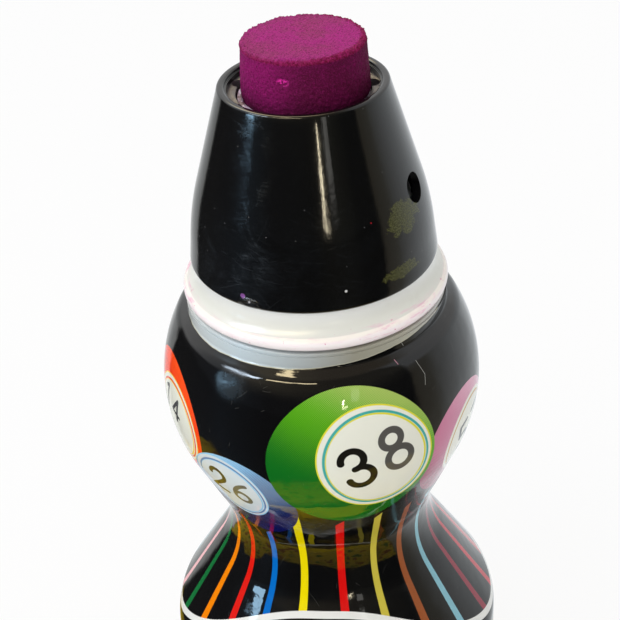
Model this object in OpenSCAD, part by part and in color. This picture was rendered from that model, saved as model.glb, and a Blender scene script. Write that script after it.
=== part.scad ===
// Bingo dauber: an hourglass bottle in a printed shrink film, and a spring valve with a foam tip.
// Millimetres, +Z up. The origin is the centre of the face that the bottle stands on.
// The front, which carries the largest printed ball, faces -Y. Pressing the foam down opens the valve.

/* [Bottle] */
// Radius of the straight lower body
base_r = 26.3; // [25:0.1:28]
// Wall of the blow-moulded bottle
bottle_wall = 1; // [0.8:0.1:1.4]
// Rounding where the bottle meets the table
foot_round = 2.6; // [2:0.1:3.5]
// Height of the push-up under the bottle
push_up_h = 2; // [1.4:0.1:2.6]
// Width of the ring that the bottle stands on
stand_w = 3.7; // [2.5:0.1:7]
// Width of the pinch-off seam across the push-up
pinch_w = 0.8; // [0.5:0.1:1.2]
// Depth of the pinch-off seam below the push-up
pinch_h = 0.6; // [0.3:0.1:1]
// Height at which the straight lower body ends
base_top_z = 32.5; // [30:0.1:33.5]
// Radius of the bend above the straight lower body
base_bend_r = 6; // [4:0.1:8]
// Smallest radius, at the waist
waist_r = 15.7; // [14.5:0.1:17]
// Slope of the flank below the waist, as the angle that its face looks up
low_flank_angle = 31.7; // [28:0.1:35]
// Radius of the hollow bend at the waist
waist_bend_r = 13.5; // [11.5:0.1:14.5]
// Slope of the flank above the waist, as the angle that its face looks down
high_flank_angle = 23.6; // [20:0.1:26]
// How far the upper ball stands out beyond the pale ring
ball_out = 4.8; // [4:0.1:5.5]
// Radius of the bend of the upper ball
ball_bend_r = 24; // [22:0.1:26]
// Radius of the corner where the ball turns into the shoulder
corner_r = 2.5; // [1.5:0.1:3.2]
// How far the pale ring stays inside the collar's bead
ring_in = 0.4; // [0.2:0.1:0.8]
// Height of the pale ring above the hollow at its foot
ring_h = 2; // [1.6:0.1:3]
// Radius of the hollow at the foot of the pale ring
ring_foot_r = 0.6; // [0.4:0.1:0.9]
// Wall of the neck
neck_wall = 1.6; // [1.3:0.1:1.8]
// Height of the neck above the pale ring
neck_h = 10.6; // [9.5:0.1:11.5]
// How far the snap bead stands out of the neck
neck_bead = 0.5; // [0.3:0.1:0.6]
// Height of the snap bead above the pale ring
neck_bead_z = 4.2; // [3.5:0.1:5]

/* [Shrink film] */
// Thickness of the printed film
film_t = 0.15; // [0.1:0.01:0.25]
// Height of the film's lower edge, on the bottle's foot
film_low_z = 0.8; // [0.5:0.1:1.4]
// Bare ring left above the film's top edge
film_top_gap = 0.5; // [0.3:0.1:0.8]

/* [Collar] */
// Radius of the round bead at the foot of the collar
bead_round = 1.05; // [0.9:0.05:1.2]
// How far the bead stands out beyond the shroud's foot
bead_out = 1.45; // [1.2:0.05:1.8]
// Height of the hollow face above the bead
cove_h = 3.2; // [2.8:0.1:3.6]
// How far the collar's ledge stays inside the shroud's foot
ledge_in = 0.4; // [0.2:0.05:0.6]
// How deep the hollow face is drawn in
cove_depth = 0.45; // [0.2:0.05:0.7]
// Wall of the collar's rings and web
collar_wall = 1.2; // [1:0.1:1.4]
// Height of the ring that holds the shroud
spigot_h = 4.5; // [4:0.1:5.5]
// Room between that ring and the skirt on the neck
spigot_room = 0.61; // [0.4:0.01:1.5]
// How far the ring's snap bead stands out
spigot_bead = 0.5; // [0.4:0.05:0.6]

/* [Shroud] */
// Height of the black shroud
shroud_h = 25.25; // [24:0.05:27]
// How far the shroud draws in up to where its slope turns steep
shroud_bend_in = 0.75; // [0.5:0.05:1]
// Height above the foot where the slope turns steep
shroud_bend_z = 7.5; // [6.5:0.1:9]
// Width of the recess between the cup and the rim
recess_w = 1.6; // [1.4:0.05:2]
// Width of the rim
rim_w = 1.05; // [0.95:0.05:1.3]
// Rounding of the rim's outer edge
rim_round = 0.4; // [0.2:0.05:0.6]
// Rounding of the shroud's foot
shroud_foot_round = 0.5; // [0.3:0.05:0.7]
// Wall of the shroud
shroud_wall = 1.15; // [1:0.05:1.3]
// Width of the small step inside the rim
rim_step = 0.25; // [0.15:0.05:0.35]
// Depth of the small step below the rim
rim_step_z = 0.5; // [0.3:0.05:0.6]
// Depth of the recess from the rim to the guide ring
recess_h = 1.25; // [1.1:0.05:1.6]
// Radius of the vent hole in the side
vent_r = 2; // [1.5:0.05:2.4]
// Height of the vent hole above the shroud's foot
vent_z = 12; // [9:0.1:13]
// Direction of the vent hole, turned from the front to the right
vent_turn = 64; // [40:1:90]

/* [Guide ring] */
// How far the guide ring reaches under the rim
guide_seat = 0.25; // [0.2:0.05:0.35]
// Thickness of the guide ring
guide_t = 1.2; // [1:0.1:1.6]
// Number of slots in the guide ring
slot_count = 7; // [6:1:9]
// Width of each slot
slot_w = 2.4; // [1.8:0.1:2.8]
// Width of the guide ring outside its slots
slot_margin = 0.5; // [0.4:0.05:0.8]
// How far the guide ring's top lies above the cup's rim
guide_over_cup = 0.4; // [0.2:0.05:0.8]
// Direction of the first slot, turned from the front to the right
slot_turn = 43; // [0:1:44]

/* [Foam tip and cup] */
// Radius of the foam tip
foam_r = 8; // [7:0.1:8.2]
// Height of the foam tip
foam_h = 11.3; // [9:0.1:14]
// Thickness of the felt disc under the foam
felt_t = 1.2; // [0.8:0.1:1.8]
// Wall of the cup that holds the foam
cup_wall = 0.7; // [0.5:0.05:0.75]
// Thickness of the cup's floor
cup_floor_t = 1; // [0.8:0.1:1.4]
// Depth of the cup above its floor
cup_depth = 5; // [4.5:0.1:5.3]
// Number of feed holes in the cup's floor
feed_count = 6; // [4:1:8]
// Radius of each feed hole
feed_r = 0.9; // [0.6:0.05:1]
// Floor left on each side of a feed hole
feed_margin = 0.575; // [0.4:0.005:0.8]
// Wall of the tube under the cup
cup_tube_wall = 1; // [0.9:0.05:1.2]
// Length of the tube under the cup
cup_tube_h = 5.3; // [5:0.1:6]
// Radius of the wiper ring's cord
wiper_cord_r = 0.55; // [0.5:0.01:0.57]
// Height of the wiper ring above the tube's lower end
wiper_z = 1.8; // [1.4:0.1:2.4]

/* [Valve] */
// How far the tip travels when it is pressed
travel = 2; // [1:0.1:2.2]
// Room left under the cup when it is pressed right down
cup_spare = 0.5; // [0.3:0.1:1]
// Thickness of the flat gasket on the neck
gasket_t = 0.8; // [0.5:0.1:1.2]
// Thickness of the valve body's flange
flange_t = 1.4; // [1.2:0.1:1.8]
// Wall of the valve body's tubes
body_wall = 1; // [0.8:0.05:1.05]
// Depth of the plug and the seat tube below the flange
plug_h = 5.3; // [5:0.1:6]
// Room between the seat tube and the poppet
poppet_room = 1.6; // [1.2:0.05:2]
// Room in the port round the cup's boss
port_room = 0.6; // [0.4:0.05:0.9]
// Width of the seat that the poppet's seal closes on
seat_w = 1.4; // [1.1:0.05:1.8]
// Radius of the valve stem
stem_r = 1.5; // [1.3:0.05:1.7]
// Thickness of the poppet
poppet_t = 1.5; // [1.2:0.1:1.8]
// Thickness of the rubber seal on the poppet
seal_t = 1; // [0.7:0.05:1.3]
// Wall of the boss in the cup that grips the stem
boss_wall = 1.05; // [0.9:0.05:1.3]
// Length of that boss below the cup's floor
boss_h = 5.6; // [5:0.1:6]
// How deep the stem sits in the boss
stem_seat_h = 5; // [4:0.1:5.4]
// Clearance of the spring round the pilots that centre it
pilot_gap = 0.6; // [0.4:0.05:0.8]
// Height of the pilot on the poppet
poppet_pilot_h = 1.5; // [1:0.1:1.8]
// Height of the pilot on the basket's floor
basket_pilot_h = 2.2; // [1.5:0.1:2.4]

/* [Spring and basket] */
// Length of the spring at rest
spring_h = 8.7; // [8.3:0.1:9.5]
// How far the spring's wire runs inside the poppet's edge
spring_in = 1.6; // [1.2:0.05:1.8]
// Radius of the spring's wire
wire_r = 0.3; // [0.25:0.01:0.35]
// Number of turns
spring_turns = 5; // [4:1:6]
// Wall of the basket
basket_wall = 0.9; // [0.7:0.05:1]
// Room between the basket and the plug round it
basket_room = 1.7; // [1.2:0.05:2.2]
// Thickness of the basket's floor
basket_floor_t = 1.2; // [0.9:0.1:1.5]
// Height of the basket's unbroken upper ring
basket_ring_h = 3.6; // [3:0.1:4]
// Width of each window in the basket
window_w = 7.5; // [6:0.1:8]
// Radius of the hole in the basket's floor
drain_r = 0.9; // [0.6:0.05:1.1]

/* [Fits] */
// Clearance of a part that is pushed into another
push_gap = 0.05; // [0.03:0.01:0.06]
// Running clearance of the cup in the guide ring
slide_gap = 0.2; // [0.15:0.01:0.3]
// Running clearance of the wiper ring in its tube
wiper_gap = 0.04; // [0.02:0.01:0.06]
// Clearance between the poppet's seal and its seat
seal_gap = 0.05; // [0.03:0.01:0.08]
// Clearance round the neck and the snap beads
snap_gap = 0.12; // [0.08:0.01:0.2]
// Gap between the collar and the bottle's ring
collar_gap = 0.3; // [0.2:0.05:0.4]
// Clearance between the film and the bottle
film_gap = 0.03; // [0.02:0.01:0.05]

/* [Hidden] */
$fn = 96;
// Overrun of every cut
cut = 0.5;
// Direction of the shoulder's slope, as the angle of its normal
shoulder_angle = 60;
// Direction in which the ball's bend hands over to the corner
corner_angle = 28;
// Direction in which the collar's bead hands over to the hollow face
bead_angle = 65;
// Angle between the points of an arc
arc_step = 4;

// Radii of the valve, from the stem outwards to the neck
boss_r = stem_r + push_gap + boss_wall;
port_r = boss_r + port_room;
poppet_r = port_r + seat_w;
spring_r = poppet_r - spring_in;
pilot_r = spring_r - wire_r - pilot_gap;
seat_tube_r = poppet_r + poppet_room;
seat_tube_out_r = seat_tube_r + body_wall;
basket_r = seat_tube_out_r + push_gap;
basket_out_r = basket_r + basket_wall;
plug_r = basket_out_r + basket_room + body_wall;
bore_r = plug_r + push_gap;
neck_r = bore_r + neck_wall;
gasket_r = neck_r;
// Radii of the tube that slides in the valve body
feed_ring_r = boss_r + feed_margin + feed_r;
cup_tube_r = feed_ring_r + feed_r + feed_margin + cup_tube_wall;
body_tube_r = cup_tube_r + wiper_cord_r + wiper_gap;
body_tube_out_r = body_tube_r + body_wall;
wiper_r = body_tube_r - wiper_gap - wiper_cord_r;
wiper_groove_r = wiper_r - wiper_cord_r - wiper_gap;
// Radii of the cup, the guide ring and the rim, from the foam outwards
cup_r = foam_r + push_gap;
cup_out_r = cup_r + cup_wall;
guide_hole_r = cup_out_r + slide_gap;
rim_mouth_r = cup_out_r + recess_w;
rim_r = rim_mouth_r + rim_w;
guide_r = rim_mouth_r + guide_seat;
slot_end_r = guide_r - slot_margin;
// Radii of the collar and the shroud, from the neck outwards
skirt_r = neck_r + snap_gap;
skirt_out_r = skirt_r + collar_wall;
spigot_r = skirt_out_r + spigot_room;
spigot_out_r = spigot_r + collar_wall;
spigot_taper = shroud_bend_in * spigot_h / shroud_bend_z;
shroud_foot_r = spigot_out_r + snap_gap + spigot_taper + shroud_wall;
shroud_bend_r = shroud_foot_r - shroud_bend_in;
ledge_r = shroud_foot_r - ledge_in;
collar_r = shroud_foot_r + bead_out;
// Radii of the bottle
ring_r = collar_r - ring_in;
ball_r = ring_r + ball_out;
push_up_r = base_r - foot_round - stand_w;

// Height that a straight flank climbs between two bends dx apart across, whose radii add up to r
function flank_climb(dx, r, angle) = r * sin(angle) + (r * cos(angle) - dx) * cos(angle) / sin(angle);

// Centres of the bottle's bends, from the lower body up
base_c = [base_r - base_bend_r, base_top_z];
waist_x = waist_r + waist_bend_r;
waist_z = base_top_z + flank_climb(waist_x - base_c[0], base_bend_r + waist_bend_r, low_flank_angle);
waist_c = [waist_x, waist_z];
ball_x = ball_r - ball_bend_r;
ball_z = waist_z + flank_climb(waist_x - ball_x, waist_bend_r + ball_bend_r, high_flank_angle);
ball_c = [ball_x, ball_z];
corner_c = ball_c + (ball_bend_r - corner_r) * [cos(corner_angle), sin(corner_angle)];
corner_end = corner_c + corner_r * [cos(shoulder_angle), sin(shoulder_angle)];
ring_foot_x = ring_r + ring_foot_r;
ring_foot_c = [ring_foot_x, corner_end[1]
               + (ring_foot_r - (ring_foot_x - corner_end[0]) * cos(shoulder_angle)) / sin(shoulder_angle)];

// Heights of the collar and the shroud, which stand on the pale ring
ring_top_z = ring_foot_c[1] + ring_h;
collar_z = ring_top_z + collar_gap;
bead_top_z = collar_z + bead_round + bead_round * sin(bead_angle);
shroud_z = bead_top_z + cove_h;
rim_z = shroud_z + shroud_h;
guide_top_z = rim_z - recess_h;
// Heights of the cup and what lies in it
cup_top_z = guide_top_z - guide_over_cup;
felt_z = cup_top_z - cup_depth;
foam_z = felt_z + felt_t;
cup_floor_z = felt_z - cup_floor_t;
cup_tube_z = cup_floor_z - cup_tube_h;
// Heights of the neck and the valve body
neck_top_z = ring_top_z + neck_h;
flange_z = neck_top_z + gasket_t;
flange_top_z = flange_z + flange_t;
body_tube_top_z = cup_floor_z - travel - cup_spare;
// Heights of the valve's moving pieces
seal_top_z = flange_z - seal_gap;
poppet_top_z = seal_top_z - seal_t;
spring_top_z = poppet_top_z - poppet_t;
spring_z = spring_top_z - spring_h;
basket_z = spring_z - basket_floor_t;
basket_top_z = flange_z - plug_h + basket_ring_h;

// Points of an arc about c from angle a to angle b
function arc(c, r, a, b, steps = 0) =
    let (n = steps > 0 ? steps : max(2, ceil(abs(b - a) / arc_step)))
    [for (i = [0 : n]) c + r * [cos(a + (b - a) * i / n), sin(a + (b - a) * i / n)]];

// The bottle's side from the ring's foot down to the straight lower body, drawn in by t
function side_points(t) = concat(
    arc(ring_foot_c, ring_foot_r + t, 180, 180 + shoulder_angle),
    arc(corner_c, corner_r - t, shoulder_angle, corner_angle),
    arc(ball_c, ball_bend_r - t, corner_angle, -high_flank_angle),
    arc(waist_c, waist_bend_r + t, 180 - high_flank_angle, 180 + low_flank_angle),
    arc(base_c, base_bend_r - t, low_flank_angle, 0));

// The foot's rounding, drawn in by t
function foot_points(t) = arc([base_r - foot_round, foot_round], foot_round - t, 0, -90);

module bottle_outside() {
    rotate_extrude() polygon(concat(
        [[0, ring_top_z], [ring_r, ring_top_z]],
        side_points(0),
        foot_points(0),
        [[push_up_r, 0], [push_up_r - push_up_h, push_up_h], [0, push_up_h]]));
}

module bottle_inside() {
    rotate_extrude() polygon(concat(
        [[0, ring_top_z - bottle_wall], [ring_r - bottle_wall, ring_top_z - bottle_wall]],
        side_points(bottle_wall),
        foot_points(bottle_wall),
        [[push_up_r, bottle_wall], [push_up_r - push_up_h, push_up_h + bottle_wall],
         [0, push_up_h + bottle_wall]]));
}

// A snap ridge that stands out of a wall of radius r, 2 h high at its foot, with its crest at height z
module ridge(r, out, z, h) {
    rotate_extrude() polygon([[r - cut, z - h], [r, z - h], [r + out, z - out], [r + out, z + out],
                              [r, z + h], [r - cut, z + h]]);
}

module tube(r_out, r_in, z, h) {
    translate([0, 0, z]) difference() {
        cylinder(r = r_out, h = h);
        translate([0, 0, -cut]) cylinder(r = r_in, h = h + 2 * cut);
    }
}

module bottle() {
    color("ivory") {
        difference() {
            union() {
                bottle_outside();
                translate([0, 0, ring_top_z - bottle_wall]) cylinder(r = neck_r, h = neck_h + bottle_wall);
                ridge(neck_r, neck_bead, ring_top_z + neck_bead_z, 2 * neck_bead);
            }
            bottle_inside();
            translate([0, 0, ring_top_z - bottle_wall - cut])
                cylinder(r = bore_r, h = neck_h + bottle_wall + 2 * cut);
        }
        translate([-push_up_r / 2, -pinch_w / 2, push_up_h - pinch_h]) cube([push_up_r, pinch_w, pinch_h]);
    }
}

// The film follows the bottle's outside at its clearance, from the foot to just under the ring's top
module shrink_sleeve() {
    top_z = ring_top_z - film_top_gap;
    low_angle = -asin((foot_round - film_low_z) / foot_round);
    foot_c = [base_r - foot_round, foot_round];
    inner = -film_gap;
    outer = -film_gap - film_t;
    color("black") rotate_extrude() polygon(concat(
        [[ring_r - outer, top_z]],
        side_points(outer),
        arc(foot_c, foot_round - outer, 0, low_angle),
        arc(foot_c, foot_round - inner, low_angle, 0),
        [for (i = [len(side_points(inner)) - 1 : -1 : 0]) side_points(inner)[i]],
        [[ring_r - inner, top_z]]));
}

// The white closure: a bead and a hollow face outside, a skirt that snaps over the neck and clamps the valve
module closure_collar() {
    bead_c = [collar_r - bead_round, collar_z + bead_round];
    bead_end = bead_c + bead_round * [cos(bead_angle), sin(bead_angle)];
    web_z = bead_top_z - collar_wall / 2;
    spigot_top_z = shroud_z + spigot_h;
    cap_top_z = flange_top_z + collar_wall;
    cove_steps = 8;
    cove_dir = [ledge_r - bead_end[0], shroud_z - bead_end[1]];
    cove_in = [-cove_dir[1], cove_dir[0]] / norm(cove_dir);
    color("seashell") union() {
        rotate_extrude() polygon(concat(
            arc(bead_c, bead_round, -90, bead_angle),
            [for (i = [1 : cove_steps]) let (u = i / cove_steps)
                bead_end + cove_dir * u + cove_in * cove_depth * sin(180 * u)],
            [[spigot_out_r, shroud_z], [spigot_out_r, spigot_top_z], [spigot_r, spigot_top_z],
             [spigot_r, web_z], [bead_c[0] - collar_wall / 2, web_z],
             [bead_c[0] - collar_wall / 2, collar_z]]));
        ridge(spigot_out_r, spigot_bead, shroud_z + spigot_h / 2, 2 * spigot_bead);
        tube(bead_c[0], skirt_r, web_z, collar_wall);
        difference() {
            tube(skirt_out_r, skirt_r, collar_z, cap_top_z - collar_z);
            ridge(skirt_r, neck_bead, ring_top_z + neck_bead_z, 2 * neck_bead + snap_gap);
        }
        tube(skirt_out_r, body_tube_out_r + snap_gap, flange_top_z, collar_wall);
    }
}

// Outer radius of the shroud at a height above its foot, on its two straight stretches
function shroud_lower_r(z) = shroud_foot_r + (shroud_bend_r - shroud_foot_r) * z / shroud_bend_z;
function shroud_upper_r(z) =
    shroud_bend_r + (rim_r - shroud_bend_r) * (z - shroud_bend_z) / (shroud_h - shroud_bend_z);

module nozzle_shroud() {
    // The bend between the two stretches is a short curve through three heights
    bend_span = shroud_bend_z / 2;
    bend = [for (i = [0 : 8])
        let (u = i / 8, a = [shroud_lower_r(shroud_bend_z - bend_span), shroud_bend_z - bend_span],
             b = [shroud_bend_r, shroud_bend_z],
             c = [shroud_upper_r(shroud_bend_z + bend_span), shroud_bend_z + bend_span])
        (1 - u) * (1 - u) * a + 2 * u * (1 - u) * b + u * u * c];
    ledge_z = shroud_h - recess_h;
    slope_angle = atan2(shroud_bend_r - rim_r, shroud_h - shroud_bend_z);
    inner_top = shroud_upper_r(ledge_z - guide_t) - shroud_wall;
    color("black") translate([0, 0, shroud_z]) difference() {
        rotate_extrude() polygon(concat(
            arc([shroud_foot_r - shroud_foot_round, shroud_foot_round], shroud_foot_round, -90, 0),
            bend,
            arc([rim_r - rim_round, shroud_h - rim_round], rim_round, slope_angle, 90),
            [[rim_mouth_r + rim_step, shroud_h], [rim_mouth_r, shroud_h - rim_step / 2],
             [rim_mouth_r, shroud_h - rim_step_z], [rim_mouth_r - rim_step, shroud_h - rim_step_z],
             [rim_mouth_r - rim_step, ledge_z], [guide_r, ledge_z], [guide_r, ledge_z - guide_t],
             [inner_top, ledge_z - guide_t]],
            [for (i = [8 : -1 : 0]) bend[i] - [shroud_wall, 0]],
            [[shroud_foot_r - shroud_wall, 0]]));
        ridge(spigot_out_r + snap_gap, spigot_bead + snap_gap, spigot_h / 2, 2 * spigot_bead + snap_gap);
        rotate([0, 0, vent_turn - 90]) translate([0, 0, vent_z]) rotate([0, 90, 0])
            cylinder(r = vent_r, h = shroud_foot_r + cut);
    }
}

// The slotted ring in the recess guides the cup and lets air back in
module guide_ring() {
    color("dimgray") translate([0, 0, guide_top_z - guide_t]) difference() {
        tube(guide_r, guide_hole_r, 0, guide_t);
        for (i = [0 : slot_count - 1]) rotate([0, 0, slot_turn - 90 + i * 360 / slot_count]) {
            translate([slot_end_r - slot_w / 2, 0, -cut])
                cylinder(r = slot_w / 2, h = guide_t + 2 * cut, $fn = 32);
            translate([0, -slot_w / 2, -cut])
                cube([slot_end_r - slot_w / 2, slot_w, guide_t + 2 * cut]);
        }
    }
}

module foam_tip() {
    color("mediumvioletred") translate([0, 0, foam_z]) cylinder(r = foam_r, h = foam_h);
}

module felt_disc() {
    color("plum") translate([0, 0, felt_z]) cylinder(r = foam_r, h = felt_t);
}

// The cup holds foam and felt; its tube slides in the valve body and its boss grips the stem
module foam_cup() {
    groove_h = wiper_cord_r + wiper_gap;
    color("thistle") difference() {
        union() {
            translate([0, 0, cup_floor_z]) cylinder(r = cup_out_r, h = cup_floor_t);
            tube(cup_out_r, cup_r, felt_z, cup_depth);
            tube(cup_tube_r, cup_tube_r - cup_tube_wall, cup_tube_z, cup_tube_h);
            translate([0, 0, cup_floor_z - boss_h]) cylinder(r = boss_r, h = boss_h);
        }
        tube(cup_tube_r + cut, wiper_groove_r, cup_tube_z + wiper_z - groove_h, 2 * groove_h);
        translate([0, 0, cup_floor_z - boss_h - cut])
            cylinder(r = stem_r + push_gap, h = stem_seat_h + cut);
        for (i = [0 : feed_count - 1]) rotate([0, 0, i * 360 / feed_count])
            translate([feed_ring_r, 0, cup_floor_z - cut])
                cylinder(r = feed_r, h = cup_floor_t + 2 * cut, $fn = 32);
    }
}

module wiper_ring() {
    color("black") translate([0, 0, cup_tube_z + wiper_z])
        rotate_extrude() translate([wiper_r, 0]) circle(r = wiper_cord_r, $fn = 32);
}

// The valve body plugs the neck, carries the seat and guides the cup's tube
module valve_body() {
    plug_z = flange_z - plug_h;
    color("white") difference() {
        union() {
            translate([0, 0, flange_z]) cylinder(r = gasket_r, h = flange_t);
            tube(body_tube_out_r, body_tube_r, flange_top_z, body_tube_top_z - flange_top_z);
            tube(plug_r, plug_r - body_wall, plug_z, plug_h);
            tube(seat_tube_out_r, seat_tube_r, plug_z, plug_h);
        }
        translate([0, 0, flange_z - cut]) cylinder(r = port_r, h = flange_t + 2 * cut);
    }
}

module valve_stem() {
    stem_top_z = cup_floor_z - boss_h + stem_seat_h;
    color("gainsboro") union() {
        translate([0, 0, poppet_top_z]) cylinder(r = stem_r, h = stem_top_z - poppet_top_z);
        translate([0, 0, spring_top_z]) cylinder(r = poppet_r, h = poppet_t);
        translate([0, 0, spring_top_z - poppet_pilot_h]) cylinder(r = pilot_r, h = poppet_pilot_h);
    }
}

module poppet_seal() {
    color("black") tube(poppet_r, stem_r + push_gap, poppet_top_z, seal_t);
}

// One unbroken wire that climbs at a steady rate, with its least gap printed
module valve_spring() {
    rings_per_turn = 8;
    sides = 6;
    steps = spring_turns * rings_per_turn;
    low = spring_z + wire_r;
    high = spring_top_z - wire_r;
    points = [for (i = [0 : steps]) let (a = 360 * i / rings_per_turn)
        for (j = [0 : sides - 1]) let (b = 360 * j / sides, r = spring_r + wire_r * cos(b))
            [r * cos(a), r * sin(a), low + (high - low) * i / steps + wire_r * sin(b)]];
    faces = concat(
        [for (i = [0 : steps - 1]) for (j = [0 : sides - 1])
            let (k = (j + 1) % sides, a = i * sides + j, b = i * sides + k, c = a + sides, d = b + sides)
            each [[a, b, d], [a, d, c]]],
        [for (j = [1 : sides - 2]) [0, j + 1, j]],
        [for (j = [1 : sides - 2]) [for (k = [0, j, j + 1]) steps * sides + k]]);
    echo("least gap between the spring's turns", (high - low) / spring_turns - 2 * wire_r);
    color("silver") polyhedron(points, faces);
}

// The basket clips round the seat tube and carries the spring; ink enters through its windows
module spring_basket() {
    window_h = basket_top_z - basket_ring_h - spring_z;
    color("whitesmoke") difference() {
        union() {
            tube(basket_out_r, basket_r, spring_z, basket_top_z - spring_z);
            translate([0, 0, basket_z]) cylinder(r = basket_out_r, h = basket_floor_t);
            translate([0, 0, spring_z]) cylinder(r = pilot_r, h = basket_pilot_h);
        }
        for (turn = [0, 90]) rotate([0, 0, turn])
            difference() {
                translate([-basket_out_r - cut, -window_w / 2, spring_z])
                    cube([2 * (basket_out_r + cut), window_w, window_h]);
                translate([0, 0, spring_z - cut]) cylinder(r = basket_r, h = window_h + 2 * cut);
            }
        translate([0, 0, basket_z - cut])
            cylinder(r = drain_r, h = basket_floor_t + basket_pilot_h + 2 * cut);
    }
}

module neck_gasket() {
    color("dimgray") tube(gasket_r, bore_r, neck_top_z, gasket_t);
}

bottle();
shrink_sleeve();
closure_collar();
nozzle_shroud();
guide_ring();
foam_tip();
foam_cup();
felt_disc();
wiper_ring();
valve_body();
valve_stem();
poppet_seal();
valve_spring();
spring_basket();
neck_gasket();
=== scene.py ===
# %% [markdown]
# # A bingo dauber
#
# The real thing is an hourglass bottle of white plastic inside a printed, glossy shrink film. A white
# collar snaps on its neck, a black cone snaps on the collar, and a foam tip full of ink slides in the cone.
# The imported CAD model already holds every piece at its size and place. This lesson gives the pieces their
# finish: those in view are modelled anew with fine curves, and most of those inside keep the CAD mesh and only
# get a material.

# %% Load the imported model
import math
from functools import partialmethod

import bpy
import numpy as np
from mathutils import Matrix, Vector


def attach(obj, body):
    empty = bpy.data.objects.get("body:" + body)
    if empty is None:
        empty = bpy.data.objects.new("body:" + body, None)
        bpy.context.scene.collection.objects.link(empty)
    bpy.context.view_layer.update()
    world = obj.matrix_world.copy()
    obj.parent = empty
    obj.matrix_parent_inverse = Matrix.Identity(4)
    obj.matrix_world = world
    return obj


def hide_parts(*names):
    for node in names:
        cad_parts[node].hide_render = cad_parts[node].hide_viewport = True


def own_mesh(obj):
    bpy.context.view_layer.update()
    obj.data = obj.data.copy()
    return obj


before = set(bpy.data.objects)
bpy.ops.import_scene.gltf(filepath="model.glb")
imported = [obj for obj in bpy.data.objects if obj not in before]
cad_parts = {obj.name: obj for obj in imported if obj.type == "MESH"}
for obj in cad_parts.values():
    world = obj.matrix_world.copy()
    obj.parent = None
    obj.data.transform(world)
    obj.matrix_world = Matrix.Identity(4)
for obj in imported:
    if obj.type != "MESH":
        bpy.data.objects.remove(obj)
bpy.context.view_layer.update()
MM = 0.001
UP = Vector((0, 0, 1))

# %% [markdown]
# ## Camera
#
# The photograph was taken from close by, some 19 cm above the table and 16 cm in front of the dauber, so the
# foam looks wide and the waist small. The camera's place, aim and roll were found by fitting the rings of the
# real object. A camera looks along its own -Z, so its matrix is written from three directions at right angles.

# %% Place the camera
camera_at = Vector((0.0, -0.157778, 0.194035))
camera_aim = Vector((-0.001133, 0.0, 0.090315))
camera_roll = math.radians(-3.9295)
forward = (camera_aim - camera_at).normalized()
right = forward.cross(UP).normalized()
over = right.cross(forward)
side = math.cos(camera_roll) * right + math.sin(camera_roll) * over
top = math.cos(camera_roll) * over - math.sin(camera_roll) * right
camera_data = bpy.data.cameras.new("camera")
camera_data.lens = 75.48
camera_data.sensor_width = 36
camera_data.clip_start, camera_data.clip_end = 0.01, 20
camera = bpy.data.objects.new("camera", camera_data)
bpy.context.scene.collection.objects.link(camera)
camera.matrix_world = Matrix.Translation(camera_at) @ Matrix((side, top, -forward)).transposed().to_4x4()
bpy.context.scene.camera = camera
bpy.context.scene.view_settings.view_transform = "Standard"
print("camera looks down by", round(math.degrees(math.asin(-forward.z)), 1), "degrees")

# %% [markdown]
# ## A short way to write shaders
#
# Procedural finishes need many small nodes. Written one by one they take four lines each, so this helper
# places a node, fills its inputs in order or by name and hands back its output. A socket in an input makes a
# link, and a number or a tuple is set on the input itself.

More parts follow.
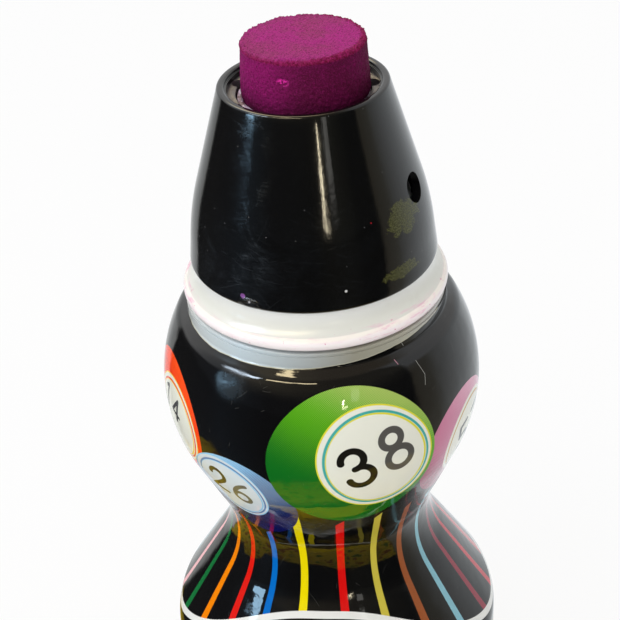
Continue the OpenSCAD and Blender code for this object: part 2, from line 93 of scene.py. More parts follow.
# %% Helper for node trees
class Shade:
    """A node tree being built. Each method places a node, or a few that belong together, and returns the output."""

    def __init__(self, tree):
        self.tree = tree

    def node(self, kind, *values, named=None, **settings):
        """Places a node, sets it up and fills its inputs: the enabled ones in order, and others by their names."""
        made = self.tree.nodes.new("ShaderNode" + kind)
        for key, value in settings.items():
            setattr(made, key, value)
        for socket, value in zip([s for s in made.inputs if s.enabled], values):
            self.fill(socket, value)
        for name, value in (named or {}).items():
            self.fill(made.inputs[name], value)
        return made

    def fill(self, socket, value):
        if isinstance(value, bpy.types.NodeSocket):
            self.tree.links.new(value, socket)
        elif hasattr(value, "__len__") and len(value) == 3 and socket.type == "RGBA":
            socket.default_value = (*value, 1)
        else:
            socket.default_value = value

    def math(self, operation, *values, clamp=False):
        return self.node("Math", *values, operation=operation, use_clamp=clamp).outputs[0]

    def vector(self, operation, *values):
        made = self.node("VectorMath", *values, operation=operation)
        scalar = operation in ("LENGTH", "DOT_PRODUCT", "DISTANCE")
        return made.outputs["Value" if scalar else "Vector"]

    # The arithmetic that finishes need most, under short names
    times, plus, less = partialmethod(math, "MULTIPLY"), partialmethod(math, "ADD"), partialmethod(math, "SUBTRACT")
    over, larger = partialmethod(math, "DIVIDE"), partialmethod(math, "MAXIMUM")
    times_plus = partialmethod(math, "MULTIPLY_ADD")
    offset, stretched = partialmethod(vector, "SUBTRACT"), partialmethod(vector, "MULTIPLY")
    length = partialmethod(vector, "LENGTH")

    def scaled(self, vector, factor):
        return self.node("VectorMath", operation="SCALE", named={0: vector, "Scale": factor}).outputs["Vector"]

    def step(self, value, low, high, to_low=0.0, to_high=1.0):
        """A soft step from one value to another, which are 0 and 1 if not given."""
        return self.node("MapRange", value, low, high, to_low, to_high, interpolation_type="SMOOTHSTEP").outputs[0]

    def past(self, value, edge, soft):
        """1 where a value is past an edge."""
        return self.step(value, edge - soft, edge + soft)

    def band(self, value, low, full_low, full_high, high):
        """1 between the two inner values, falling softly to 0 at the outer ones."""
        return self.times(self.step(value, low, full_low), self.step(value, high, full_high))

    def coats(self, color, *layers):
        """A colour under layers of (share, colour), the last one on top."""
        for share, coat in layers:
            color = self.mix(share, color, coat)
        return color

    def mix(self, factor, first, second, blend="MIX"):
        return self.node("Mix", data_type="RGBA", blend_type=blend, named={0: factor, 6: first, 7: second}).outputs[2]

    def ramp(self, value, stops):
        """The colour at a value from 0 to 1, in straight steps between stops of (value, colour)."""
        made = self.node("ValToRGB", named={"Fac": value})
        elements = made.color_ramp.elements
        elements[0].position, elements[1].position = stops[0][0], stops[-1][0]
        elements[0].color, elements[1].color = (*stops[0][1], 1), (*stops[-1][1], 1)
        for at, color in stops[1:-1]:
            elements.new(at).color = (*color, 1)
        return made.outputs["Color"]

    def noise(self, vector, scale, detail=3.0, roughness=0.55, distortion=0.0, flat=False):
        named = {"Vector": vector, "Scale": scale, "Detail": detail, "Roughness": roughness, "Distortion": distortion}
        return self.node("TexNoise", noise_dimensions="2D" if flat else "3D", named=named).outputs["Fac"]

    def split(self, vector):
        return self.node("SeparateXYZ", vector).outputs

    def join(self, x=0.0, y=0.0, z=0.0):
        return self.node("CombineXYZ", x, y, z).outputs[0]

    def turned(self, vector, angle):
        """A vector turned round Z by an angle in radians."""
        return self.node("VectorRotate", rotation_type="Z_AXIS", named={"Vector": vector, "Angle": angle}).outputs[0]

    def place(self, tree, **values):
        """Places a group and fills its inputs, their names written with _ for a space."""
        named = {name.replace("_", " "): value for name, value in values.items()}
        return self.node("Group", node_tree=tree, named=named).outputs

    def on_object(self):
        return self.node("TexCoord").outputs["Object"]

    def spot(self, point, centre, stretch, outer=1.0, inner=0.3):
        """1 at a centre, falling to 0 round it: the way from the centre is stretched and then measured."""
        way = self.stretched(self.offset(point, (*centre, 0)), (*stretch, 0))
        return self.step(self.length(way), outer, inner)

    def emboss(self, surface, relief):
        """Relief in metres, shown as bump."""
        self.fill(surface["Normal"], self.node("Bump", named={"Distance": 1.0, "Height": relief}).outputs[0])


def group(name, inputs, outputs):
    """A shader node group with named sockets. Returns its Shade, its inputs by name and its output node."""
    tree = bpy.data.node_groups.new(name, "ShaderNodeTree")
    for side_name, sockets in (("INPUT", inputs), ("OUTPUT", outputs)):
        for socket_name, kind in sockets.items():
            tree.interface.new_socket(socket_name, in_out=side_name, socket_type="NodeSocket" + kind)
    return Shade(tree), tree.nodes.new("NodeGroupInput").outputs, tree.nodes.new("NodeGroupOutput").inputs


def finish_material(name, rough, ior=1.5, **constants):
    """A material with one Principled shader, its constants set on the shader's own sockets."""
    made = bpy.data.materials.new(name)
    made.use_nodes = True
    shader = made.node_tree.nodes["Principled BSDF"]
    shader.inputs["Roughness"].default_value = rough
    shader.inputs["IOR"].default_value = ior
    for key, value in constants.items():
        shader.inputs[key.replace("_", " ")].default_value = value
    return made, Shade(made.node_tree), shader.inputs


# %% [markdown]
# ## Stage and light
#
# The real dauber was photographed against pure white, with a dark room in front of it: its black gloss
# mirrors white at both edges, black in the middle, and one narrow bright lamp. The floor here is pale for
# the camera and keeps the shadow. Only in reflections is it dark in front, as a black card on the table is.

# %% Lay the floor
def deselect():
    """Leaves edit mode and deselects everything."""
    if bpy.context.object and bpy.context.object.mode == "EDIT":
        bpy.ops.object.mode_set(mode="OBJECT")
    bpy.ops.object.select_all(action="DESELECT")


def pick(piece):
    """Selects one piece alone and makes it the active one."""
    deselect()
    bpy.context.view_layer.objects.active = piece
    piece.select_set(True)


def compass(shade, direction):
    """Azimuth in degrees of a direction or of a point of the floor, from the front, positive to the right."""
    x, y = shade.split(direction)[:2]
    return shade.times(shade.math("ARCTAN2", x, shade.times(y, -1)), 180 / math.pi)


def azimuth_height(shade, place):
    """Azimuth in degrees and height in mm of a point of the object."""
    return compass(shade, place), shade.over(shade.split(place)[2], MM)


# What stands round the dauber near the horizon, as its black gloss mirrors it: azimuth in degrees, colour
SURROUNDINGS = [
    (-180, (0.95, 0.97, 1.0)), (-160, (0.86, 0.88, 0.88)), (-137, (0.7, 0.72, 0.72)), (-132, (0.66, 0.67, 0.66)),
    (-129, (0.05, 0.05, 0.05)), (-110, (0.09, 0.09, 0.09)), (-85, (0.1, 0.11, 0.13)), (-70, (0.11, 0.15, 0.2)),
    (-52, (0.07, 0.09, 0.11)), (-40, (0.04, 0.04, 0.045)), (0, (0.035, 0.035, 0.03)), (17, (0.1, 0.095, 0.07)),
    (30, (0.1, 0.1, 0.075)), (45, (0.03, 0.03, 0.025)), (63, (0.028, 0.028, 0.025)), (66, (0.34, 0.3, 0.22)),
    (79, (0.43, 0.41, 0.34)), (86, (0.62, 0.63, 0.6)), (94, (0.75, 0.77, 0.77)), (105, (0.86, 0.9, 0.92)),
    (135, (0.95, 1.0, 1.03)), (180, (0.95, 0.97, 1.0))]


def by_azimuth(shade, azimuth, table):
    """The colour at an azimuth in degrees, by a table of (azimuth, colour) that starts at -180 and ends at 180."""
    return shade.ramp(shade.times_plus(azimuth, 1 / 360, 0.5), [(a / 360 + 0.5, c) for a, c in table])


deselect()
bpy.ops.mesh.primitive_plane_add(size=6)
floor = bpy.context.object
floor.name = "floor"
bpy.ops.object.mode_set(mode="EDIT")
bpy.ops.mesh.subdivide(number_cuts=5)
bpy.ops.object.mode_set(mode="OBJECT")
floor_paint = bpy.data.materials.new("floor_paint")
floor_paint.use_nodes = True
floor_tree = floor_paint.node_tree
floor_tree.nodes.clear()
shade = Shade(floor_tree)
floor_point = shade.on_object()
seen = shade.node("LightPath").outputs
paper = shade.node("BsdfDiffuse", (0.82, 0.82, 0.82)).outputs[0]
lit_paper = shade.node("Emission", (1, 1, 1), 1.0).outputs[0]
away = shade.length(floor_point)
# The underside of the ball mirrors a patterned yellow mat round the dauber's foot
blots = shade.noise(floor_point, 85, 2)
mat = shade.mix(shade.step(blots, 0.56, 0.6), (0.62, 0.45, 0.035), (0.3, 0.13, 0.03))
mat = shade.mix(shade.step(blots, 0.42, 0.38), mat, (0.15, 0.2, 0.03))
floor_azimuth = compass(shade, floor_point)
darker = shade.band(floor_azimuth, -132, -128, 62, 68)
far_off = by_azimuth(shade, floor_azimuth, SURROUNDINGS)
far_off = shade.mix(darker, far_off, shade.mix(0.5, far_off, (0, 0, 0)))
# How far the mat reaches from the axis: azimuth in degrees, metres
MAT_EDGE = [(-180, 0.09), (-104, 0.09), (-97, 0.122), (-84, 0.122), (-74, 0.08), (-12, 0.08), (4, 0.1), (180, 0.1)]
mat_edge = by_azimuth(shade, floor_azimuth, [(at, (radius, 0, 0)) for at, radius in MAT_EDGE])
mat_edge = shade.node("SeparateColor", mat_edge).outputs[0]
within = shade.step(shade.less(away, mat_edge), 0.003, -0.003)
mirrored = shade.mix(shade.times(darker, within), far_off, mat)
# Painted shadow: round the foot the floor shows near black in reflections
mirrored = shade.mix(shade.step(away, 0.045, 0.03), mirrored, (0.03, 0.03, 0.03))
mirror_glow = shade.node("Emission", mirrored, 1.0).outputs[0]
shown = shade.node("MixShader", 0.86, paper, lit_paper).outputs[0]
bounced = shade.node("MixShader", seen["Is Camera Ray"], paper, shown).outputs[0]
gloss_seen = shade.larger(seen["Is Glossy Ray"], seen["Is Transmission Ray"])
floor_look = shade.node("MixShader", gloss_seen, bounced, mirror_glow).outputs[0]
shade.node("OutputMaterial", floor_look)
floor.data.materials.append(floor_paint)
print("floor of", [round(x, 1) for x in floor.dimensions], "m")

# %% Light the studio
world = bpy.data.worlds.new("studio")
bpy.context.scene.world = world
world.use_nodes = True
world.node_tree.nodes.clear()
shade = Shade(world.node_tree)
look = shade.node("TexCoord").outputs["Generated"]
seen = shade.node("LightPath").outputs
x, y, height = shade.split(look)
# What the gloss mirrors: the surroundings near the horizon, paler walls above them and a dim warm ceiling
UPPER_WALLS = [
    (-180, (1.0, 1.0, 1.0)), (-120, (1.2, 1.2, 1.2)), (-100, (0.8, 0.82, 0.85)), (-80, (0.52, 0.56, 0.6)),
    (-60, (0.66, 0.6, 0.46)), (-40, (0.46, 0.41, 0.3)), (-20, (0.3, 0.26, 0.18)), (5, (0.2, 0.17, 0.12)),
    (60, (0.18, 0.17, 0.13)), (66, (0.8, 0.82, 0.84)), (120, (1.0, 1.0, 1.0)), (180, (1.0, 1.0, 1.0))]
way = compass(shade, look)
gloss_sky = shade.mix(shade.step(height, 0.1, 0.34), by_azimuth(shade, way, SURROUNDINGS),
                      by_azimuth(shade, way, UPPER_WALLS))
ceiling = shade.mix(shade.step(x, 0.1, -0.5), (0.42, 0.35, 0.25), (0.9, 0.78, 0.56))
gloss_sky = shade.mix(shade.step(height, 0.78, 0.93), gloss_sky, ceiling)
# Only the cone's rim mirrors what is high up behind: a bright warm lamp field, bluish to the left
left_share = shade.step(x, -0.25, -0.6)
behind = shade.times(shade.step(y, 0.08, 0.3), shade.step(height, 0.5, 0.66))
behind = shade.times(behind, shade.band(x, -0.66, -0.5, 0.02, 0.22))
gloss_sky = shade.mix(behind, gloss_sky, shade.mix(left_share, (6.6, 5.4, 3.3), (3.4, 4.4, 5.2)))
# What lights the object: a soft studio, brighter from above and from the left
soft_sky = shade.mix(shade.step(height, -0.2, 0.9), (0.52, 0.52, 0.52), (1.08, 1.08, 1.08))
from_left = shade.step(x, 0.9, -0.8, 0.72, 1.18)
soft_sky = shade.mix(1.0, soft_sky, shade.join(from_left, from_left, from_left), "MULTIPLY")
sky = shade.mix(shade.larger(seen["Is Glossy Ray"], seen["Is Transmission Ray"]), soft_sky, gloss_sky)
sky = shade.mix(seen["Is Camera Ray"], sky, (1, 1, 1))
glow = shade.node("Background", sky, 1.0).outputs[0]
shade.node("OutputWorld", glow)


def lamp(name, azimuth, elevation, distance, width, height, radiance, tint, aim_z=0.1):
    """A rectangular lamp that faces the object, by its direction seen from the object and its brightness."""
    data = bpy.data.lights.new(name, "AREA")
    data.shape = "RECTANGLE"
    data.size, data.size_y = width, height
    data.energy = radiance * math.pi * width * height
    data.color = tint
    made = bpy.data.objects.new(name, data)
    bpy.context.scene.collection.objects.link(made)
    a, e = math.radians(azimuth), math.radians(elevation)
    way = Vector((math.sin(a) * math.cos(e), -math.cos(a) * math.cos(e), math.sin(e)))
    made.matrix_world = (Matrix.Translation(Vector((0, 0, aim_z)) + way * distance)
                         @ way.to_track_quat("Z", "Y").to_matrix().to_4x4())
    return made


FAR = 3.0
WARM, BLUE = (1.0, 0.87, 0.62), (0.44, 0.73, 1.0)
lamp("front_lamp", 12.6, 5.9, FAR, 0.05, 0.26, 62, (1.0, 0.88, 0.62))
lamp("front_lamp_low", 14.2, 2.5, FAR, 0.2, 0.055, 16, WARM)
lamp("left_window", -72, 5.4, FAR, 0.55, 0.2, 14, BLUE)
# Four more matter only in the gloss: as lines on the rim and the shoulder, and as the haze on the shoulder
for line in (lamp("shelf_lamp", -27, 42, FAR, 1.7, 0.26, 18, (1.0, 0.84, 0.52)),
             lamp("shelf_lamp_left", -70, 38, FAR, 1.3, 0.5, 24, (0.72, 0.85, 1.0)),
             lamp("ceiling_lamp", -62, 74, FAR, 0.5, 0.22, 18, (1.0, 0.83, 0.5)),
             lamp("low_window", 22, 9.5, FAR, 0.28, 0.5, 1.6, (1.0, 0.98, 0.92))):
    line.visible_diffuse = False
key = lamp("key", -45, 52, 0.9, 0.5, 0.4, 3.3, (1.0, 0.98, 0.95))
key.visible_glossy = False

# %% [markdown]
# ## Turned pieces
#
# Bottle, film, collar, cone and cup are all bodies of revolution. Each could be a curve with a Screw
# modifier, or a stack of circles. Here half of the cross-section is drawn point by point by extruding one
# vertex, and the whole outline is spun round the axis, because a closed outline gives both faces of a wall.

# %% Helpers for outlines
def arc(centre, radius, start, stop, step=3.0):
    """Points of an arc in mm, angles in degrees from outward, up being positive."""
    count = max(2, math.ceil(abs(stop - start) / step))
    turns = [math.radians(start + (stop - start) * i / count) for i in range(count + 1)]
    return [(centre[0] + radius * math.cos(t), centre[1] + radius * math.sin(t)) for t in turns]


def along(points, step=1.0):
    """The same outline with its long straight stretches divided into steps in mm."""
    made = [points[0]]
    for a, b in zip(points, points[1:]):
        count = max(1, math.ceil(math.dist(a, b) / step))
        made += [(a[0] + (b[0] - a[0]) * i / count, a[1] + (b[1] - a[1]) * i / count) for i in range(1, count + 1)]
    return made


def turn(name, outline, segments=192, sharp=35):
    """Spins an outline of (radius, height) in mm round the axis. It ends on the axis or where it began."""
    deselect()
    bpy.ops.mesh.primitive_plane_add(size=MM, location=(outline[0][0] * MM, 0, outline[0][1] * MM))
    piece = bpy.context.object
    piece.name = piece.data.name = name
    bpy.ops.object.transform_apply(location=True, rotation=True, scale=True)
    bpy.ops.object.mode_set(mode="EDIT")
    bpy.ops.mesh.select_mode(type="VERT")
    bpy.ops.mesh.select_all(action="SELECT")
    bpy.ops.mesh.merge(type="CENTER")
    for a, b in zip(outline, outline[1:]):
        move = ((b[0] - a[0]) * MM, 0, (b[1] - a[1]) * MM)
        bpy.ops.mesh.extrude_region_move(TRANSFORM_OT_translate={"value": move})
    bpy.ops.mesh.select_all(action="SELECT")
    bpy.ops.mesh.spin(steps=segments, angle=2 * math.pi, center=(0, 0, 0), axis=(0, 0, 1))
    bpy.ops.mesh.select_all(action="SELECT")
    bpy.ops.mesh.remove_doubles(threshold=0.002 * MM)
    bpy.ops.mesh.normals_make_consistent(inside=False)
    bpy.ops.object.mode_set(mode="OBJECT")
    bpy.ops.object.shade_smooth_by_angle(angle=math.radians(sharp))
    print(name, "has", len(piece.data.polygons), "faces")
    return piece


def wrap(piece, outline):
    """Gives a piece the map 'round': across is the azimuth from the front, up is the way along the outline."""
    mesh = piece.data
    points = np.array(outline)
    way = np.concatenate([[0], np.cumsum(np.hypot(*np.diff(points, axis=0).T))])
    at = np.zeros(len(mesh.vertices) * 3)
    mesh.vertices.foreach_get("co", at)
    at = at.reshape(-1, 3) / MM
    corner = np.zeros(len(mesh.loops), int)
    mesh.loops.foreach_get("vertex_index", corner)
    face = np.repeat(np.arange(len(mesh.polygons)), [p.loop_total for p in mesh.polygons])
    share = np.arctan2(at[:, 0], -at[:, 1])[corner] / (2 * math.pi)
    middle = np.zeros(len(mesh.polygons) * 3)
    mesh.polygons.foreach_get("center", middle)
    middle = middle.reshape(-1, 3)
    facing = (np.arctan2(middle[:, 0], -middle[:, 1]) / (2 * math.pi))[face]
    share += np.round(facing - share)
    order = np.argsort(points[:, 1])
    down = np.interp(at[corner, 2], points[order, 1], way[order])
    sheet = mesh.uv_layers.new(name="round")
    sheet.data.foreach_set("uv", np.stack([share + 0.5, 1 - down / way[-1]], -1).ravel())
    return way[-1]


def set_down(piece, body, *nodes, slot=None, paint=None):
    """The last steps for a finished piece: what it stands for, the body it rides on and its paint; slot is not used.
    """
    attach(piece, body)
    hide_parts(*nodes)
    if paint:
        piece.data.materials.clear()
        piece.data.materials.append(paint)


# %% [markdown]
# ## Marks of use
#
# Gloss shows every touch: hairline scratches, short ticks, lint and specks. All are short thin strokes, each
# at its own angle. One group makes them: it divides the surface into cells, puts one stroke into some of
# them and gives out a mask, which each material then uses for its roughness, height or colour.

# %% Group for short strokes
shade, given, gives = group(
    "strokes",
    {"Point": "Vector", "Per mm": "Float", "Length": "Float", "Width": "Float", "Share": "Float",
     "Angle": "Float", "Spread": "Float", "Curl": "Float", "Shift": "Float"},
    {"Mask": "Float"})
moved = shade.vector("ADD", given["Point"], shade.join(given["Shift"], given["Shift"]))
cells = shade.node("TexVoronoi", voronoi_dimensions="2D", named={"Vector": moved, "Scale": given["Per mm"]})
luck = shade.split(cells.outputs["Color"])
apart = shade.offset(moved, cells.outputs["Position"])
lean = shade.times(shade.less(luck[0], 0.5), given["Spread"])
laid = shade.split(shade.turned(apart, shade.plus(given["Angle"], lean)))
reach = shade.times(given["Length"], shade.plus(0.25, shade.times(luck[1], 0.75)))
past_end = shade.larger(shade.less(shade.math("ABSOLUTE", laid[0]), reach), 0.0)
bow = shade.times(shade.times(laid[0], laid[0]), shade.times(given["Curl"], shade.less(luck[1], 0.5)))
off_line = shade.less(laid[1], bow)
apart_by = shade.length(shade.join(past_end, off_line))
drawn = shade.less(1.0, shade.over(apart_by, given["Width"]), clamp=True)
chosen = shade.math("LESS_THAN", luck[2], given["Share"])
shade.fill(gives["Mask"], shade.times(drawn, chosen))
strokes = shade.tree
print("group strokes has", len(strokes.nodes), "nodes")

# %% [markdown]
# ## Numbers
#
# The print has plain numbers on its balls. Text objects would need a font and would float on the surface.
# Each figure is drawn in the shader instead: a figure is a few arcs and straight strokes, and the distance
# to the nearest of them, cut at half a pen's width, is the figure with round ends, sharp at any zoom.

# %% Groups for a pen's arc and straight stroke
shade, given, gives = group(
    "pen_arc", {"Point": "Vector", "Centre": "Vector", "Radius": "Float", "Middle": "Float", "Half": "Float"},
    {"Distance": "Float"})
around = shade.turned(shade.offset(given["Point"], given["Centre"]), shade.times(given["Middle"], -1.0))
part = shade.split(around)
mirrored_y = shade.math("ABSOLUTE", part[1])
angle = shade.math("ARCTAN2", mirrored_y, part[0])
on_ring = shade.math("ABSOLUTE", shade.less(shade.length(around), given["Radius"]))
end = shade.join(shade.times(shade.math("COSINE", given["Half"]), given["Radius"]),
                 shade.times(shade.math("SINE", given["Half"]), given["Radius"]))
to_end = shade.vector("DISTANCE", shade.join(part[0], mirrored_y), end)
inside = shade.math("LESS_THAN", angle, given["Half"])
blended = shade.plus(shade.times(on_ring, inside), shade.times(to_end, shade.less(1.0, inside)))
shade.fill(gives["Distance"], blended)
pen_arc = shade.tree

shade, given, gives = group("pen_line", {"Point": "Vector", "From": "Vector", "To": "Vector"}, {"Distance": "Float"})
whole = shade.offset(given["To"], given["From"])
here = shade.offset(given["Point"], given["From"])
share = shade.over(shade.vector("DOT_PRODUCT", here, whole), shade.vector("DOT_PRODUCT", whole, whole), clamp=True)
shade.fill(gives["Distance"], shade.vector("DISTANCE", here, shade.scaled(whole, share)))
pen_line = shade.tree

# %% Figures, each on its own axes in mm with x to the right and y down
FIGURES = {
    "1": [((0, -3.6), (0, 3.6)), ((0, -3.6), (-1.5, -2.3))],
    "2": [((0, -1.85), 1.75, -70, 118), ((1.4, -0.75), (-1.85, 3.5)), ((-1.85, 3.5), (1.95, 3.5))],
    "3": [((-0.15, -1.66), 1.6, -39, 134), ((0.03, 1.62), 1.76, 46, 131)],
    "4": [((0.9, -3.6), (0.9, 3.6)), ((0.9, -3.6), (-2.0, 1.6)), ((-2.0, 1.6), (2.2, 1.6))],
    "5": [((-1.2, -3.5), (1.6, -3.5)), ((-1.2, -3.5), (-1.5, -0.4)), ((-0.05, 1.45), 2.05, 5, 132)],
    "6": [((0, 1.72), 1.8, 0, 180), ((3.2, 1.1), 5.0, 210, 30)],
    "7": [((-1.9, -3.5), (1.9, -3.5)), ((1.9, -3.5), (-0.6, 3.6))],
    "8": [((0, -1.78), 1.45, 0, 180), ((0, 1.86), 1.78, 0, 180)],
}
figures = {}
for figure, pens in FIGURES.items():
    shade, given, gives = group("figure_" + figure, {"Point": "Vector"}, {"Distance": "Float"})
    nearest = None
    for pen in pens:
        if len(pen) == 2:
            one = shade.place(pen_line, Point=given["Point"], From=(*pen[0], 0), To=(*pen[1], 0))["Distance"]
        else:
            centre, radius, middle, half = pen
            one = shade.place(pen_arc, Point=given["Point"], Centre=(*centre, 0), Radius=radius,
                              Middle=math.radians(middle), Half=math.radians(half))["Distance"]
        nearest = one if nearest is None else shade.math("MINIMUM", nearest, one)
    shade.fill(gives["Distance"], nearest)
    figures[figure] = shade.tree
print("figures drawn:", "".join(figures))

# %% [markdown]
# ## Printed balls
#
# Each ball is a shaded disc with a white face inside two rings. The real print is four-colour halftone:
# between light and dark the shade is built from diagonal rows of dots, and the yellow plate lies a little off
# the blue one, so each thin ring shows yellow on one side and blue on the other. One group prints any ball.

# %% Group for a ball
HALFTONE_MM = 0.3
shade, given, gives = group(
    "ball",
    {"Under": "Color", "Point": "Vector", "Centre": "Vector", "Half": "Vector", "Face centre": "Vector",
     "Face half": "Vector", "Lean": "Float", "Dusk": "Float", "Fall": "Vector", "Light": "Color",
     "Middle": "Color", "Deep": "Color", "Line": "Color", "Fringe": "Color", "Paper": "Color"},
    {"Color": "Color"})


def on_ellipse(centre, half):
    """How far the point is from the centre of a leaning ellipse, 1 being on its line."""
    laid = shade.turned(shade.offset(given["Point"], centre), shade.times(given["Lean"], -1.0))
    return shade.length(shade.vector("DIVIDE", laid, half))


def ring(value, low, high, soft=0.008):
    """1 between two sizes, with soft edges."""
    return shade.band(value, low - soft, low + soft, high - soft, high + soft)


in_ball = shade.step(on_ellipse(given["Centre"], given["Half"]), 1.004, 0.998)
off_middle = shade.vector("DIVIDE", shade.offset(given["Point"], given["Centre"]), given["Half"])
depth = shade.vector("DOT_PRODUCT", off_middle, given["Fall"])
dots = shade.split(shade.scaled(given["Point"], 2 * math.pi / HALFTONE_MM))
screen = shade.times(shade.math("SINE", dots[0]), shade.math("SINE", dots[1]))
toned = shade.times_plus(screen, 0.26, depth)
body_color = shade.mix(shade.step(toned, -0.9, -0.4), given["Light"], given["Middle"])
dusk = shade.less(toned, given["Dusk"])
body_color = shade.mix(shade.step(dusk, -0.65, 0.0), body_color, given["Deep"])
face = on_ellipse(given["Face centre"], given["Face half"])
# The other plate lies a little off
face_off = on_ellipse(shade.vector("ADD", given["Face centre"], (0.14, 0.06, 0)), given["Face half"])
coat = shade.coats(
    body_color, (shade.step(face, 1.004, 0.996), given["Fringe"]), (shade.step(face, 0.98, 0.968), given["Paper"]),
    (ring(face, 0.835, 0.872), given["Fringe"]), (ring(face_off, 0.868, 0.912), given["Line"]))
shade.fill(gives["Color"], shade.mix(in_ball, given["Under"], coat))
ball = shade.tree

# %% Group for a stripe
shade, given, gives = group(
    "stripe",
    {"Under": "Color", "Azimuth": "Float", "Down": "Float", "At": "Float", "Half": "Float", "Top": "Float",
     "Ink": "Color"},
    {"Color": "Color"})
across = shade.math("ABSOLUTE", shade.less(given["Azimuth"], given["At"]))
from_top = shade.less(given["Down"], given["Top"])
slanted = shade.times_plus(shade.less(given["Azimuth"], given["At"]), 0.3, from_top)
stripe_mask = shade.times(shade.step(shade.less(across, given["Half"]), 0.12, -0.12),
                          shade.step(slanted, -0.6, -0.4))
shade.fill(gives["Color"], shade.mix(stripe_mask, given["Under"], given["Ink"]))
stripe = shade.tree

# %% [markdown]
# ## The bottle
#
# Blow-moulded white plastic, 1 mm thick. Only its flat ring round the collar shows above the film. The
# whole outside follows the CAD outline: ring, round shoulder, ball, waist, straight lower body and a
# push-up foot. It is turned as one closed wall, so the mouth and the inside are there in other views too.

# %% Outline of the bottle's side
ring_foot_at, shoulder_at, ball_at = (19.0, 93.402), (18.183, 90.294), (-0.8, 80.2)
waist_at, base_at = (29.2, 55.199), (20.3, 32.5)
SHOULDER_ARC, BALL_ARC, WAIST_ARC, BASE_ARC = 2.5, 24, 13.5, 6


def side_outline(out):
    """The bottle's side from ring to lower body, drawn out by some mm."""
    return (arc(ring_foot_at, 0.6 - out, 180, 240, 6) + arc(shoulder_at, SHOULDER_ARC + out, 60, 28)
            + arc(ball_at, BALL_ARC + out, 28, -23.6, 1.5) + arc(waist_at, WAIST_ARC - out, 156.4, 211.7, 1.5)
            + arc(base_at, BASE_ARC + out, 31.7, 0, 2))


print("ball", 2 * (ball_at[0] + BALL_ARC), "mm across, lower body", 2 * (base_at[0] + BASE_ARC), "mm")

# %% Turn the bottle
def eased(points, radius, turn_limit=25):
    """An outline whose corners are rounded by a short curve, as a mould or a cut leaves them."""
    made = [points[0]]
    for before, at, after in zip(points, points[1:], points[2:]):
        one, two = Vector(before) - Vector(at), Vector(after) - Vector(at)
        if one.length < 1e-6 or two.length < 1e-6 or math.degrees(math.pi - one.angle(two)) < turn_limit:
            made.append(at)
            continue
        reach = min(radius, one.length * 0.45, two.length * 0.45)
        start, stop = Vector(at) + one.normalized() * reach, Vector(at) + two.normalized() * reach
        for t in (0, 0.25, 0.5, 0.75, 1):
            made.append(tuple((1 - t) ** 2 * start + 2 * t * (1 - t) * Vector(at) + t * t * stop))
    return made + [points[-1]]


foot_at, foot_round, push_up = (23.7, 2.6), 2.6, 2.0
neck = [(10.9, 94.402), (10.9, 106.0), (12.5, 106.0), (12.5, 100.6), (13.0, 100.1), (13.0, 99.1),
        (12.5, 98.6), (12.5, 95.402), (18.4, 95.402)]
bottle_outline = eased(
    [(0, push_up + 1), (17.6, push_up + 1), (19.6, 1), (23.7, 1)]
    + arc(foot_at, foot_round - 1, -90, 0, 10) + side_outline(-1)[::-1] + [(17.4, 94.402)] + neck
    + side_outline(0) + arc(foot_at, foot_round, 0, -90, 8) + [(20, 0), (18, push_up), (0, push_up)], 0.25)
bottle = turn("bottle_shell", bottle_outline, 160)

# %% [markdown]
# ## The shrink film
#
# A printed tube of film, shrunk on by heat. It is modelled as what it is, a closed skin 0.15 mm thick round
# the bottle, because its cut edges show at the ring and under the foot. Its print was flat before it shrank,
# so the artwork is drawn on a map that unrolls it: across by the azimuth and down by the way along the skin.

# %% Turn the film
FILM_GAP, FILM_OUT = 0.03, 0.18
low_angle = -43.8


def film_side(out):
    return ([(18.4 + out, 94.902)] + side_outline(out) + arc(foot_at, foot_round + out, 0, low_angle, 6))


film_outline = film_side(FILM_OUT)
film = turn("shrink_film", film_outline + film_side(FILM_GAP)[::-1] + film_outline[:1], 256)
film_length = wrap(film, film_outline)
print("film is", round(film_length, 2), "mm long from top to foot")

# %% Colours of the print
BALL_R = BALL_ARC + ball_at[0]


def ink(red, green, blue):
    """A colour as a screen shows it, 0 to 255, turned into the linear values that shaders use."""
    return tuple((c / 255 / 12.92) if c < 11 else ((c / 255 + 0.055) / 1.055) ** 2.4 for c in (red, green, blue))


